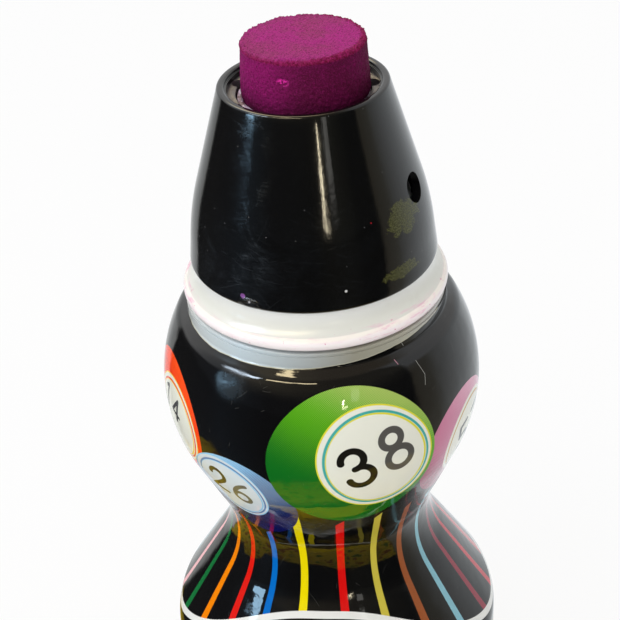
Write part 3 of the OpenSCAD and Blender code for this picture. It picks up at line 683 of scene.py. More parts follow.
# Each ball: number, centre, half axes, face centre, half axes of the face, lean in degrees, how far down it
# turns dark, light, middle, deep, ring line, fringe, figures' colour, figures' centre, turn in degrees and size
BALLS = [
    ("57", (23.6, 22.0), (9.4, 9.6), (25.9, 21.8), (6.7, 7.0), 0, 0.7, (222, 160, 184), (200, 122, 154),
     (150, 60, 90), (190, 150, 60), (222, 200, 190), (60, 58, 60), (26.4, 21.2), -14, 0.72),
    ("14", (-29.2, 17.0), (9.4, 9.6), (-27.3, 17.1), (6.6, 7.0), 0, 0.7, (250, 84, 30), (244, 58, 18),
     (200, 25, 10), (235, 90, 60), (250, 205, 70), (18, 18, 20), (-27.9, 14.6), 12, 0.54),
    ("41", (61.5, 17.5), (10.4, 10.6), (60.2, 18.2), (7.2, 7.5), 0, 0.7, (120, 190, 235), (30, 130, 200),
     (10, 60, 140), (20, 90, 160), (200, 220, 90), (20, 20, 22), (60.2, 18.2), -16, 0.8),
    ("72", (-49.0, 26.5), (8.8, 9.0), (-47.6, 25.4), (6.2, 6.5), 0, 0.7, (190, 150, 220), (130, 70, 180),
     (70, 25, 110), (90, 40, 150), (240, 180, 220), (20, 20, 22), (-47.6, 25.4), 14, 0.68),
    ("65", (-61.0, 13.5), (9.6, 9.8), (-61.6, 14.5), (6.8, 7.1), 0, 0.7, (250, 225, 90), (240, 195, 20),
     (200, 130, 10), (235, 160, 20), (250, 240, 120), (20, 20, 22), (-61.6, 14.5), -10, 0.74),
    ("83", (43.0, 27.0), (9.0, 9.2), (42.4, 25.8), (6.4, 6.7), 0, 0.7, (250, 170, 90), (240, 120, 20),
     (180, 70, 5), (230, 110, 10), (250, 220, 90), (20, 20, 22), (42.4, 25.8), 10, 0.7),
    ("26", (-14.6, 26.6), (9.4, 9.4), (-16.3, 24.7), (6.7, 6.9), 0, 0.42, (150, 200, 235), (96, 128, 168),
     (12, 16, 84), (84, 124, 176), (140, 200, 235), (62, 56, 22), (-16.0, 24.0), 14, 0.74),
    ("38", (3.80, 17.20), (12.11, 12.91), (6.95, 16.78), (8.24, 9.64), -31, 0.28, (168, 190, 100), (86, 164, 24),
     (14, 104, 28), (66, 168, 164), (222, 216, 60), (24, 22, 18), (6.75, 16.05), -19, 1.0),
]
# Where the shade falls towards, if not down to the left as on most balls
FALLS = {"26": (0.35, 0.9, 0)}
# Where the face is bluish and not cream
PAPERS = {"26": (0.62, 0.7, 0.76)}
# Smaller ones stand on the panel of the lower body, in the same order of values
PANEL_TONES = [((150, 196, 92), (84, 176, 22), (30, 120, 20)), ((255, 150, 60), (235, 90, 20), (170, 40, 8)),
               ((150, 190, 235), (30, 110, 200), (10, 40, 120)), ((240, 160, 190), (215, 70, 120), (140, 20, 70)),
               ((200, 160, 230), (130, 70, 180), (70, 25, 110)), ((250, 110, 90), (215, 25, 20), (130, 8, 8))]
PANEL_BALLS = [
    (number, (u, v), (6.0, 6.6), (u - 0.4, v + 0.3), (4.2, 4.6), 0, 0.7, *tones, tones[1],
     (240, 235, 200), (20, 20, 22), (u - 0.4, v + 0.3), angle, 0.5)
    for (number, u, v, angle), tones in zip(
        [("28", -12.0, 76, -12), ("67", 12.0, 79, 10), ("15", 36.5, 82, -8), ("52", 60.8, 78, 12),
         ("74", -60.8, 79, -10), ("36", -36.5, 82, 8)], PANEL_TONES)]
# Each stripe: azimuth and half its width in degrees, where it starts in mm down the film, colour
STRIPES = [
    (-95, 1.5, 36, (240, 170, 175)), (-80, 1.6, 36, (20, 110, 55)), (-65.6, 1.7, 35.5, (240, 130, 0)),
    (-50.5, 1.7, 35, (218, 24, 12)), (-34.2, 1.7, 37, (0, 104, 192)), (-16.5, 2.0, 29, (235, 215, 0)),
    (3.7, 2.0, 31, (215, 15, 15)), (22.1, 1.8, 31, (200, 185, 70)), (39.2, 1.8, 32, (150, 80, 42)),
    (55.0, 1.6, 33, (130, 184, 198)), (70.6, 1.5, 34, (142, 36, 56)), (85.2, 1.5, 34, (200, 44, 60)),
    (100.5, 2.2, 33, (208, 70, 74)), (117, 1.7, 33, (20, 120, 60)), (133, 1.6, 34, (255, 150, 0)),
    (149, 1.7, 34, (10, 120, 205)), (165, 1.6, 33, (215, 15, 15)), (-111, 1.6, 35, (140, 195, 210)),
    (-127, 1.7, 34, (235, 215, 0)), (-143, 1.7, 35, (170, 50, 70)), (-160, 1.6, 34, (200, 185, 70)),
]

# %% Where a point lies on the unrolled print
def unrolled(shade):
    """Azimuth in degrees, mm down the film, and the point of the flat print in mm."""
    sheet_at = shade.split(shade.node("UVMap", uv_map="round").outputs[0])
    azimuth = shade.times(shade.less(sheet_at[0], 0.5), 360)
    down = shade.times(shade.less(1, sheet_at[1]), film_length)
    across = shade.times(azimuth, math.pi / 180 * BALL_R)
    return azimuth, down, shade.join(across, down)


# %% Stripes and balls
PEN_HALF, FIGURE_APART = 0.52, 5.9


def print_stripes(shade, color, azimuth, down, stripes):
    # Near the ball the film shrank more, which draws the stripes' tops together
    azimuth = shade.times(azimuth, shade.step(down, 29, 40, 1.1, 1.0))
    for at, half, start, tone in stripes:
        color = shade.place(stripe, Under=color, Azimuth=azimuth, Down=down, At=at, Half=half, Top=start,
                            Ink=ink(*tone))["Color"]
    return color


def print_ball(shade, color, point, made):
    """One ball over what is already printed, and the figures of its number on its face."""
    number, centre, half, face_at, face_half, lean, dusk = made[:7]
    light, middle, deep, line, fringe = (ink(*tone) for tone in made[7:12])
    pen_ink, at, angle, size = made[12:]
    color = shade.place(ball, Under=color, Point=point, Centre=(*centre, 0), Half=(*half, 1),
                        Face_centre=(*face_at, 0), Face_half=(*face_half, 1), Lean=math.radians(lean), Dusk=dusk,
                        Fall=FALLS.get(number, (-0.45, 0.8, 0)), Light=light, Middle=middle, Deep=deep, Line=line,
                        Fringe=fringe, Paper=PAPERS.get(number, (0.8, 0.8, 0.7)))["Color"]
    on_face = shade.turned(shade.offset(point, (*at, 0)), math.radians(-angle))
    on_face = shade.scaled(on_face, 1 / size)
    for figure, offset, faint in zip(number, (-FIGURE_APART / 2, FIGURE_APART / 2), (0, 1)):
        written = shade.place(figures[figure], Point=shade.offset(on_face, (offset, 0, 0)))
        # The second figure of each number is printed paler
        grey = [min(tone + faint * 62, 96) for tone in pen_ink]
        color = shade.mix(shade.past(written["Distance"], PEN_HALF, -0.04), color, ink(*grey))
    return color


# %% Border, panel and clear margin
BLACK = (0.0032, 0.0032, 0.0035)
# In mm down the film: where the border runs highest, how far it dips, its width, how far under its edge the
# panel begins, and the black band at the foot
BORDER_TOP, BORDER_DIP, BORDER_WIDE, PANEL_IN, FOOT_BAND = 50.6, 14.7, 1.17, 4.5, 6.1


def print_frame(shade, color, azimuth, down, point, balls):
    """The scalloped white border, the panel with its balls below it, and the unprinted edge at the top."""
    lobe = shade.times(shade.plus(azimuth, 6), math.pi / 180)
    swing = shade.math("POWER", shade.math("ABSOLUTE", shade.math("SINE", lobe)), 2.5)
    past_border = shade.less(down, shade.times_plus(swing, BORDER_DIP, BORDER_TOP))
    panel = shade.mix(shade.past(past_border, PANEL_IN, 0.1), BLACK, ink(226, 196, 24))
    panel = shade.mix(shade.past(down, film_length - FOOT_BAND, 0.1), panel, BLACK)
    for made in balls:
        panel = print_ball(shade, panel, point, made)
    framed = shade.mix(shade.past(past_border, BORDER_WIDE, 0.05), (0.78, 0.78, 0.75), panel)
    color = shade.mix(shade.past(past_border, 0, 0.06), color, framed)
    wave = shade.noise(shade.stretched(point, (1, 0, 0)), 0.22, 2, flat=True)
    slant = shade.math("COSINE", shade.times(shade.plus(azimuth, 40), math.pi / 180))
    print_edge = shade.times_plus(slant, 1.65, shade.times_plus(wave, 0.36, 0.07))
    into_print = shade.less(down, print_edge)
    color = shade.mix(shade.past(into_print, 0.11, -0.02), color, (0.5, 0.49, 0.38))
    # The unprinted edge at the top shows the ring with its painted light and shade
    return shade.mix(shade.past(into_print, 0, -0.03), color, ring_painted_light_and_shade(shade, azimuth))


def ring_painted_light_and_shade(shade, azimuth):
    """The ring's thin white wall, with painted light and shade: bluish to the left, darker olive grey in front."""
    return by_azimuth(shade, azimuth, [
        (-180, (0.6, 0.6, 0.56)), (-80, (0.62, 0.63, 0.61)), (-35, (0.54, 0.63, 0.68)), (-5, (0.4, 0.43, 0.43)),
        (14, (0.32, 0.31, 0.25)), (38, (0.42, 0.41, 0.34)), (60, (0.5, 0.5, 0.48)), (180, (0.6, 0.6, 0.56))])


# %% Scratches, lint and waves of the film
# Mm per degree round the shoulder of the film, at the cone's middle, round the collar and round the foam
FILM_DEGREE, CONE_DEGREE, COLLAR_DEGREE, FOAM_DEGREE = 0.385, 0.26, 0.31, 0.145
# Where the shoulder is rubbed, in mm on the unrolled print
RUBBED = (-14.3, 5.4)
# Each bit of lint: from and to as azimuth in degrees and height in mm, half its width in mm, colour
LINT = [((38.3, 91.7), (40.2, 89.6), 0.05, (0.3, 0.3, 0.28)), ((40.2, 89.6), (39.0, 88.3), 0.05, (0.3, 0.3, 0.28)),
        ((34.4, 95.0), (36.9, 93.4), 0.05, (0.32, 0.32, 0.3)), ((30.0, 92.6), (30.5, 92.2), 0.1, (0.3, 0.14, 0.18))]


def wear_film(shade, surface, color, point, lint=()):
    """Marks on the gloss, and the slow waves of shrunk film that make its mirror images tremble."""
    place = shade.on_object()
    down = shade.split(point)[1]
    hairlines = shade.place(strokes, Point=point, Per_mm=0.2, Length=2.2, Width=0.04, Share=0.3, Angle=0.6,
                            Spread=3.0, Curl=0.2)["Mask"]
    ticks = shade.place(strokes, Point=point, Per_mm=0.5, Length=0.4, Width=0.05, Share=0.12, Angle=1.3,
                        Spread=2.0, Curl=0.5, Shift=11.0)["Mask"]
    patchy = shade.step(shade.noise(point, 0.09, 2, flat=True), 0.44, 0.58)
    rubbed = shade.noise(point, 0.3, 5, 0.7, 0.6, flat=True)
    marks = shade.times(shade.larger(hairlines, ticks), patchy)
    color = shade.mix(shade.times(marks, 0.12), color, (0.4, 0.39, 0.35))
    # A hair, two bits of lint and a scratch on the shoulder
    azimuth, height = azimuth_height(shade, place)
    spread_out = shade.join(shade.times(azimuth, FILM_DEGREE), height)
    for start, stop, half, tone in lint:
        off = shade.place(pen_line, Point=spread_out, From=(start[0] * FILM_DEGREE, start[1], 0),
                          To=(stop[0] * FILM_DEGREE, stop[1], 0))["Distance"]
        color = shade.mix(shade.step(off, half, half * 0.4), color, tone)
    shade.fill(surface["Base Color"], color)
    haze = shade.step(shade.times_plus(patchy, 0.12, rubbed), 0.52, 0.78, 0.04, 0.16)
    haze = shade.times_plus(shade.less(haze, 0.04), shade.step(down, 7, 11), 0.04)
    # A rubbed place on the shoulder spreads the window's mirror image into a haze
    rubbed_here = shade.times(shade.spot(point, RUBBED, (0.26, 0.3), 1.2, 0.2), rubbed)
    haze = shade.times_plus(rubbed_here, 0.6, haze)
    # The film puckers in the fold under the ball
    fold = shade.band(down, 28, 30, 32, 35)
    haze = shade.times_plus(fold, 0.12, haze)
    shade.fill(surface["Roughness"], shade.times_plus(marks, 0.1, haze))
    # Fine creases run round the shoulder, where the film has shrunk most
    creases = shade.noise(shade.stretched(point, (0.09, 2.6, 1)), 1.0, 3, 0.6, flat=True)
    creases = shade.times(creases, shade.step(down, 8, 3, 0.0, 0.000006))
    sway = shade.noise(place, 150, 2)
    ripple = shade.noise(place, 700, 2)
    relief = shade.plus(shade.times(sway, 0.00012), shade.times(ripple, 0.000009))
    relief = shade.times_plus(marks, -0.000004, shade.plus(relief, creases))
    shade.emboss(surface, relief)


# %% [markdown]
# ## Three parts of the print
#
# A shader can hold only so many values at once, and the whole print is too much for one. The film is
# therefore painted in three parts round its axis, each with the balls and stripes that reach into it.
# They share one map and one way of printing, so nothing shows where they meet.

# %% Paint the film
PARTS = {"printed_film_left": (-100, 20), "printed_film_right": (20, 140), "printed_film_back": (140, 260)}


def reaches(at, half, low, high):
    """True if a thing at an azimuth, half so wide, reaches into the part from low to high, in degrees."""
    return any(low - 2 < at + half + full and at - half + full < high + 2 for full in (0, 360))


for part, (low, high) in PARTS.items():
    film_paint, shade, surface = finish_material(part, 0.09)
    azimuth, down, point = unrolled(shade)
    color = print_stripes(shade, BLACK, azimuth, down, [s for s in STRIPES if reaches(s[0], s[1], low, high)])
    degrees = math.degrees(1 / BALL_R)
    upper = [b for b in BALLS if reaches(b[1][0] * degrees, b[2][1] * degrees, low, high)]
    lower = [b for b in PANEL_BALLS if reaches(b[1][0] * degrees, b[2][1] * degrees, low, high)]
    for made in upper:
        color = print_ball(shade, color, point, made)
    color = print_frame(shade, color, azimuth, down, point, lower)
    wear_film(shade, surface, color, point, LINT if low == 20 else ())
    film.data.materials.append(film_paint)
    print(part, "holds balls", [b[0] for b in upper + lower])
for polygon in film.data.polygons:
    facing = math.degrees(math.atan2(polygon.center.x, -polygon.center.y))
    polygon.material_index = next(i for i, (low, high) in enumerate(PARTS.values())
                                  if low <= facing < high or low <= facing + 360 < high)

# %% [markdown]
# ## Moulded plastics
#
# Injection-moulded plastic is never one flat colour: it has a faint flow pattern, a fine skin and dust. One
# group gives the small changes of colour, roughness and height, and each plastic sets how much of it shows.

# %% Group for moulded plastic
shade, given, gives = group(
    "moulded", {"Place": "Vector", "Grain": "Float", "Scuff": "Float"},
    {"Tone": "Float", "Rough": "Float", "Height": "Float"})
flow = shade.noise(given["Place"], 120, 3)
skin = shade.noise(given["Place"], given["Grain"], 3)
rub = shade.step(shade.noise(given["Place"], 420, 5, 0.65), 0.5, 0.72)
shade.fill(gives["Tone"], shade.times_plus(flow, 0.14, 0.93))
shade.fill(gives["Rough"], shade.times_plus(rub, given["Scuff"], shade.times(skin, 0.05)))
shade.fill(gives["Height"], shade.times(shade.plus(skin, shade.times(flow, 4)), 0.000004))
moulded = shade.tree


def plastic(name, tone, rough, grain=1800, scuff=0.15, **constants):
    """A moulded plastic of one colour."""
    paint, shade, surface = finish_material(name, rough, **constants)
    at = shade.on_object()
    look = shade.place(moulded, Place=at, Grain=grain, Scuff=scuff)
    shade.fill(surface["Base Color"], shade.mix(1.0, tone, shade.join(look["Tone"], look["Tone"], look["Tone"]),
                                                "MULTIPLY"))
    shade.fill(surface["Roughness"], shade.plus(look["Rough"], rough))
    shade.emboss(surface, look["Height"])
    return paint


def tint(shade, share, color):
    """Lays a share of another colour over that of a finished plastic."""
    tone = shade.tree.nodes["Principled BSDF"].inputs["Base Color"]
    shade.fill(tone, shade.mix(share, tone.links[0].from_socket, color))


bottle_paint = plastic("bottle_plastic", (0.70, 0.74, 0.76), 0.3)
shade = Shade(bottle_paint.node_tree)
place = shade.on_object()
# Only the ring above the film is tinted, with painted light and shade by azimuth
tint(shade, shade.step(shade.split(place)[2], 0.0925, 0.0935), ring_painted_light_and_shade(shade, compass(shade, place)))
set_down(bottle, "dauber_body", "bottle", slot="bottle_plastic", paint=bottle_paint)
set_down(film, "dauber_body", "shrink_sleeve", slot="printed_film")

# %% [markdown]
# ## The collar
#
# The white closure sits on the pale ring: a round bead below, a hollow face above, and out of sight a spigot
# for the cone and a skirt that snaps over the neck. Its closed outline is turned in one go.

# %% Turn the collar
bead_at, bead_r = (17.75, 96.752), 1.05
bead_end = Vector(bead_at) + bead_r * Vector((math.cos(math.radians(65)), math.sin(math.radians(65))))
ledge = Vector((16.95, 100.904))
cove_way = ledge - bead_end
cove_in = Vector((-cove_way.y, cove_way.x)).normalized()
cove = [tuple(bead_end + cove_way * (i / 14) + cove_in * 0.45 * math.sin(math.pi * i / 14)) for i in range(1, 14)]
collar_outline = (
    [(17.15, 95.702)] + arc(bead_at, bead_r, -90, 65, 8) + cove
    + eased([cove[-1], tuple(ledge), (15.63, 100.904), (15.63, 105.404), (14.43, 105.404), (14.43, 98.304),
             (13.82, 98.304), (13.82, 109.402), (8.26, 109.402), (8.26, 108.202), (12.62, 108.202),
             (12.62, 95.702), (13.82, 95.702), (13.82, 97.104), (17.15, 97.104), (17.15, 95.702)], 0.12)[1:])
collar = turn("collar", along(collar_outline, 2.5), 192)

# %% Warm white, stained by ink
collar_paint, shade, surface = finish_material("collar_plastic", 0.22)
place = shade.on_object()
look = shade.place(moulded, Place=place, Grain=1500, Scuff=0.04)
azimuth, height = azimuth_height(shade, place)
round_way = shade.join(shade.times(azimuth, COLLAR_DEGREE), height)
on_bead = shade.step(height, 97.78, 97.66)
grime = shade.noise(place, 300, 4)
# Painted light and shade: the upward bead is lighter than the hollow cove, which darkens towards its foot
cove_painted_shade = shade.mix(shade.step(height, 98.4, 101), (0.74, 0.74, 0.68), (0.8, 0.81, 0.79))
bead_painted_light = shade.mix(shade.step(height, 97.1, 97.5), (0.93, 0.87, 0.87), (0.95, 0.9, 0.82))
# The ink: a pale blush on the bead, streaks where fingers have rubbed it round, and drops
streaks = shade.noise(shade.stretched(round_way, (0.22, 1.7, 1)), 1.4, 4, 0.65, flat=True)
right_share = shade.times(shade.step(azimuth, 12, 34, 0, 0.6), shade.step(azimuth, 66, 50))
left_share = shade.step(azimuth, -52, -80)
share = shade.plus(shade.plus(right_share, left_share), 0.22)
blush = shade.times(shade.step(streaks, 0.3, 0.75), shade.times(share, 0.5))
near_bead = shade.step(height, 98.5, 97.7)
lines = shade.times(shade.step(streaks, 0.57, 0.66), share)
drops = shade.times(near_bead, shade.step(shade.noise(place, 1300, 3, 0.6), 0.68, 0.72))
color = shade.coats(
    cove_painted_shade, (on_bead, bead_painted_light), (shade.step(grime, 0.55, 0.8, 0.0, 0.14), (0.5, 0.47, 0.4)),
    (shade.times(blush, near_bead, clamp=True), ink(242, 196, 212)),
    (shade.times(lines, shade.times(near_bead, 0.4)), ink(224, 140, 184)),
    (shade.times(drops, 0.7), ink(206, 70, 140)))
shade.fill(surface["Base Color"], color)
shade.fill(surface["Roughness"], shade.plus(look["Rough"], 0.2))
shade.emboss(surface, look["Height"])
set_down(collar, "dauber_body", "closure_collar", slot="collar_plastic", paint=collar_paint)

# %% [markdown]
# ## The cone
#
# The black shroud is the glossiest piece: what it mirrors is what one sees, so its outline has many points.
# The vent hole is cut with a Boolean, which leaves long thin faces on a coarse mesh and spoils the gloss
# round the hole. The turned mesh is fine enough that the cut only touches faces a quarter millimetre wide.

# %% Turn the cone
SHROUD_Z = 100.904
foot_r, bend_r, rim_r, bend_z, shroud_h = 17.35, 16.6, 11.4, 7.5, 25.25
slope = (rim_r - bend_r) / (shroud_h - bend_z)
low, knee, high = Vector((16.975, 3.75)), Vector((bend_r, bend_z)), Vector((bend_r + slope * 3.75, 11.25))
bend = [tuple((1 - t) ** 2 * low + 2 * t * (1 - t) * knee + t * t * high) for t in np.linspace(0, 1, 17)]
mouth = eased([(11.0, 25.25), (10.6, 25.25), (10.35, 25.125), (10.35, 24.75), (10.1, 24.75), (10.1, 24.0),
               (10.6, 24.0), (10.6, 22.8), (10.968, 22.8)], 0.07)
shroud_outline = (arc((foot_r - 0.5, 0.5), 0.5, -90, 0, 10) + bend
                  + arc((rim_r - 0.4, shroud_h - 0.4), 0.4, -math.degrees(math.atan(slope)), 90, 8)
                  + mouth[1:] + [(r - 1.15, z) for r, z in bend[::-1]] + [(foot_r - 1.15, 0), (foot_r - 0.5, 0)])
shroud_outline = [(r, z + SHROUD_Z) for r, z in shroud_outline]
shroud = turn("cone", along(shroud_outline, 0.7), 360, 30)

# %% Cut the vent hole
VENT_AZIMUTH, VENT_Z, VENT_R = 64, SHROUD_Z + 12, 2.0
vent_way = math.radians(VENT_AZIMUTH)
vent_out = Vector((math.sin(vent_way), -math.cos(vent_way), 0))
deselect()
bpy.ops.mesh.primitive_cylinder_add(vertices=96, radius=VENT_R * MM, depth=8 * MM,
                                    location=vent_out * 14 * MM + UP * VENT_Z * MM,
                                    rotation=vent_out.to_track_quat("Z", "Y").to_euler())
cutter = bpy.context.object
bpy.ops.object.transform_apply(location=True, rotation=True, scale=True)
cut = shroud.modifiers.new("vent", "BOOLEAN")
cut.object, cut.solver = cutter, "EXACT"
pick(shroud)
bpy.ops.object.modifier_apply(modifier="vent")
bpy.data.objects.remove(cutter)
bpy.ops.object.shade_smooth_by_angle(angle=math.radians(30))
print("cone with its vent hole has", len(shroud.data.polygons), "faces")

# %% Black gloss with scratches and dried ink
shroud_paint, shade, surface = finish_material("shroud_plastic", 0.1)
place = shade.on_object()
azimuth, height = azimuth_height(shade, place)
point = shade.join(shade.times(azimuth, CONE_DEGREE), height)
look = shade.place(moulded, Place=place, Grain=900, Scuff=0.04)
fine = shade.place(strokes, Point=point, Per_mm=0.55, Length=1.0, Width=0.035, Share=0.7, Angle=0.15,
                   Spread=1.2, Curl=0.1)["Mask"]
long = shade.place(strokes, Point=point, Per_mm=0.14, Length=3.2, Width=0.04, Share=0.7, Angle=-0.45,
                   Spread=1.8, Curl=0.12, Shift=7.0)["Mask"]
specks = shade.place(strokes, Point=point, Per_mm=0.6, Length=0.04, Width=0.05, Share=0.06, Angle=0.0,
                     Spread=3.0, Curl=0.0, Shift=3.0)["Mask"]
low_part = shade.step(height, 123, 106, 0.25, 1.0)
marks = shade.times(shade.larger(fine, long), low_part)
# Handling has dulled the left of the cone in patches, crossed by lines that run round it
round_lines = shade.noise(shade.stretched(point, (0.4, 2.6, 1)), 1.3, 5, 0.7, 0.3, flat=True)
patches = shade.noise(point, 0.13, 4, 0.65, 0.8, flat=True)
handled = shade.band(azimuth, -66, -42, -30, -14)
dull = shade.times(shade.step(patches, 0.42, 0.62, 0.15, 1.0), shade.step(round_lines, 0.36, 0.66, 0.3, 1.0))
dull = shade.times(dull, shade.times_plus(handled, 0.95, 0.1))
by_degree = shade.join(azimuth, height)
smear_near = shade.larger(shade.spot(by_degree, (49.5, 110.6), (0.044, 0.26)),
                          shade.spot(by_degree, (43, 103.9), (0.05, 0.55)))
edges = shade.noise(point, 0.5, 5, 0.7, 0.8, flat=True)
crystals = shade.step(shade.noise(point, 4.5, 2, flat=True), 0.4, 0.62, 0.45, 1.0)
dried = shade.times(shade.step(shade.times_plus(smear_near, 0.55, edges), 0.86, 0.93), crystals)
rubbed = shade.times(handled, shade.step(height, 114, 106))
seen_marks = shade.times(marks, shade.times_plus(rubbed, 0.045, 0.025))
hazy_painted_sheen = shade.times(dull, shade.step(height, 117, 107))
# The dull patches are painted paler and bluish: partly scuffed plastic, partly painted sheen of the window's light
color = shade.coats(
    (0.003, 0.003, 0.0031), (seen_marks, (0.36, 0.42, 0.48)), (hazy_painted_sheen, (0.017, 0.021, 0.026)),
    (shade.times(specks, 0.5), (0.5, 0.5, 0.5)), (shade.times(dried, 0.5), ink(96, 98, 36)))
# Single marks: a red dot, a white fleck and a drop of ink beside a nick at the foot
for at, size, tone in (((28.7, 111.91), 0.13, (0.5, 0.01, 0.02)), ((12.8, 103.79), 0.2, (0.6, 0.6, 0.58)),
                       ((-34.3, 102.51), 0.42, (0.2, 0.07, 0.26)), ((-31.0, 101.9), 0.22, (0.3, 0.3, 0.34))):
    off = shade.offset(point, (at[0] * CONE_DEGREE, at[1], 0))
    off = shade.length(shade.stretched(off, (1.15, 1, 0)))
    ragged = shade.times_plus(edges, size * 1.4, off)
    color = shade.mix(shade.step(ragged, size * 1.75, size * 1.45), color, tone)
nick = shade.spot(point, (-31.0 * CONE_DEGREE, 101.7), (0.55, 1.1), inner=0.5)
shade.fill(surface["Base Color"], color)
rough = shade.times_plus(dull, 0.34, shade.plus(look["Rough"], 0.045))
rough = shade.times_plus(marks, 0.12, rough)
shade.fill(surface["Roughness"], shade.times_plus(dried, 0.25, rough))
relief = shade.times_plus(marks, -0.0000015, look["Height"])
relief = shade.times_plus(shade.times(nick, edges), 0.0004, relief)
relief = shade.times_plus(shade.times(round_lines, low_part), 0.000003, relief)
# The mould's draw lines run up the cone, and its skin is uneven towards the foot
drawn = shade.noise(shade.stretched(point, (2.6, 0.05, 1)), 1.0, 3, 0.6, flat=True)
relief = shade.times_plus(drawn, 0.0000035, relief)
uneven = shade.times(shade.noise(point, 1.5, 3, 0.6, flat=True), shade.step(height, 124, 107, 0.45, 1.0))
relief = shade.times_plus(uneven, 0.000008, relief)
shade.emboss(surface, relief)
set_down(shroud, "dauber_body", "nozzle_shroud", slot="shroud_plastic", paint=shroud_paint)

# %% [markdown]
# ## Guide ring and cup
#
# The slotted ring in the recess and the cup that holds the foam are right in the CAD model except for their
# knife-sharp edges. A copy of each CAD mesh is merged, its flat faces are joined, and a Bevel takes the
# edges off, as the mould does.

# %% Copies with soft edges
def softened(name, node, width, segments=2):
    """A merged copy of a CAD node's mesh with bevelled edges, width in mm."""
    piece = bpy.data.objects.new(name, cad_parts[node].data.copy())
    piece.data.name = name
    bpy.context.scene.collection.objects.link(piece)
    pick(piece)
    bpy.ops.object.mode_set(mode="EDIT")
    bpy.ops.mesh.select_all(action="SELECT")
    bpy.ops.mesh.remove_doubles(threshold=0.002 * MM)
    bpy.ops.mesh.dissolve_limited(angle_limit=math.radians(1))
    bpy.ops.object.mode_set(mode="OBJECT")
    edge = piece.modifiers.new("edge", "BEVEL")
    edge.width, edge.segments, edge.limit_method, edge.angle_limit = width * MM, segments, "ANGLE", math.radians(40)
    bpy.ops.object.modifier_apply(modifier="edge")
    bpy.ops.object.shade_smooth_by_angle(angle=math.radians(30))
    print(name, "has", len(piece.data.polygons), "faces")
    return piece


guide = softened("slotted_ring", "guide_ring", 0.12)
set_down(guide, "dauber_body", "guide_ring", slot="guide_plastic",
         paint=plastic("guide_plastic", (0.085, 0.075, 0.08), 0.32, scuff=0.3))
cup = softened("tip_cup", "foam_cup", 0.1)
cup_paint = plastic("cup_plastic", (0.62, 0.5, 0.66), 0.35)
shade = Shade(cup_paint.node_tree)
tint(shade, shade.step(shade.noise(shade.on_object(), 700, 4, 0.65), 0.42, 0.56), ink(70, 16, 52))
set_down(cup, "tip", "foam_cup", slot="cup_plastic", paint=cup_paint)

# %% [markdown]
# ## The foam tip
#
# A die-cut cylinder of fine open-cell foam, soaked with magenta ink. Its edge is crumbly and its skin is all
# small pits and grains. A cylinder is remeshed to an even fine grid, so that two Displace modifiers can raise
# real lumps and grains on it, and the finest cells are left to the material's bump.

# %% Shape the foam
FOAM_R, FOAM_LOW, FOAM_TOP, CUP_TOP = 8.0, 120.704, 132.004, 124.504
FOAM_SHIFT = 0.33  # above the cup, the foam sits a little to the right
foam_outline = [(0, FOAM_LOW + 0.03), (FOAM_R - 0.1, FOAM_LOW + 0.03), (FOAM_R - 0.05, CUP_TOP + 0.02),
                (8.42, CUP_TOP + 0.16), (8.5, CUP_TOP + 0.8), (8.42, CUP_TOP + 2.5), (8.12, FOAM_TOP - 0.3),
                (7.95, FOAM_TOP + 0.05), (0, FOAM_TOP + 0.12)]
foam = turn("foam", eased(foam_outline, 0.12), 160)
bpy.ops.object.mode_set(mode="EDIT")
bpy.ops.mesh.select_all(action="DESELECT")
bpy.ops.object.mode_set(mode="OBJECT")
for vertex in foam.data.vertices:
    vertex.select = vertex.co.z > CUP_TOP * MM
bpy.ops.object.mode_set(mode="EDIT")
bpy.ops.transform.translate(value=(FOAM_SHIFT * MM, 0, 0))
bpy.ops.object.mode_set(mode="OBJECT")
grid = foam.modifiers.new("grid", "REMESH")
grid.mode, grid.voxel_size = "VOXEL", 0.125 * MM
bpy.ops.object.modifier_apply(modifier="grid")
free = foam.vertex_groups.new(name="free")
for vertex in foam.data.vertices:
    x, y, z = vertex.co / MM
    at_rim = z > FOAM_TOP - 0.5 and math.hypot(x - FOAM_SHIFT, y) > 7.3
    over_cup = min(1.0, max(0.0, (z - CUP_TOP + 0.3) / 0.8))
    free.add([vertex.index], over_cup * (1.0 if at_rim else 0.42), "REPLACE")
for name, size, lift in (("lumps", 1.5, 0.22), ("grains", 0.36, 0.52)):
    cloud = bpy.data.textures.new("foam_" + name, "CLOUDS")
    cloud.noise_scale, cloud.noise_depth = size * MM, 2
    raised = foam.modifiers.new(name, "DISPLACE")
    raised.texture, raised.strength, raised.mid_level = cloud, lift * MM, 0.5
    raised.vertex_group = "free"
    bpy.ops.object.modifier_apply(modifier=name)
bpy.ops.object.shade_smooth()
foam_box = [Vector(c) for c in foam.bound_box]
print("foam has", len(foam.data.polygons), "faces and stands to", round(max(c.z for c in foam_box) / MM, 2), "mm")

# %% Magenta ink in foam
foam_paint, shade, surface = finish_material("inked_foam", 0.75, 1.2)
place = shade.on_object()
azimuth, height = azimuth_height(shade, place)
from_axis = shade.over(shade.length(shade.stretched(place, (1, 1, 0))), MM)
upper = shade.step(shade.times_plus(shade.noise(place, 1900, 3), 0.9, height), 132.05, 132.3)
cells_fine = shade.noise(place, 4000, 3, 0.8)
cells_coarse = shade.noise(place, 1400, 4, 0.7)
soaked = shade.noise(place, 170, 3, 0.6)
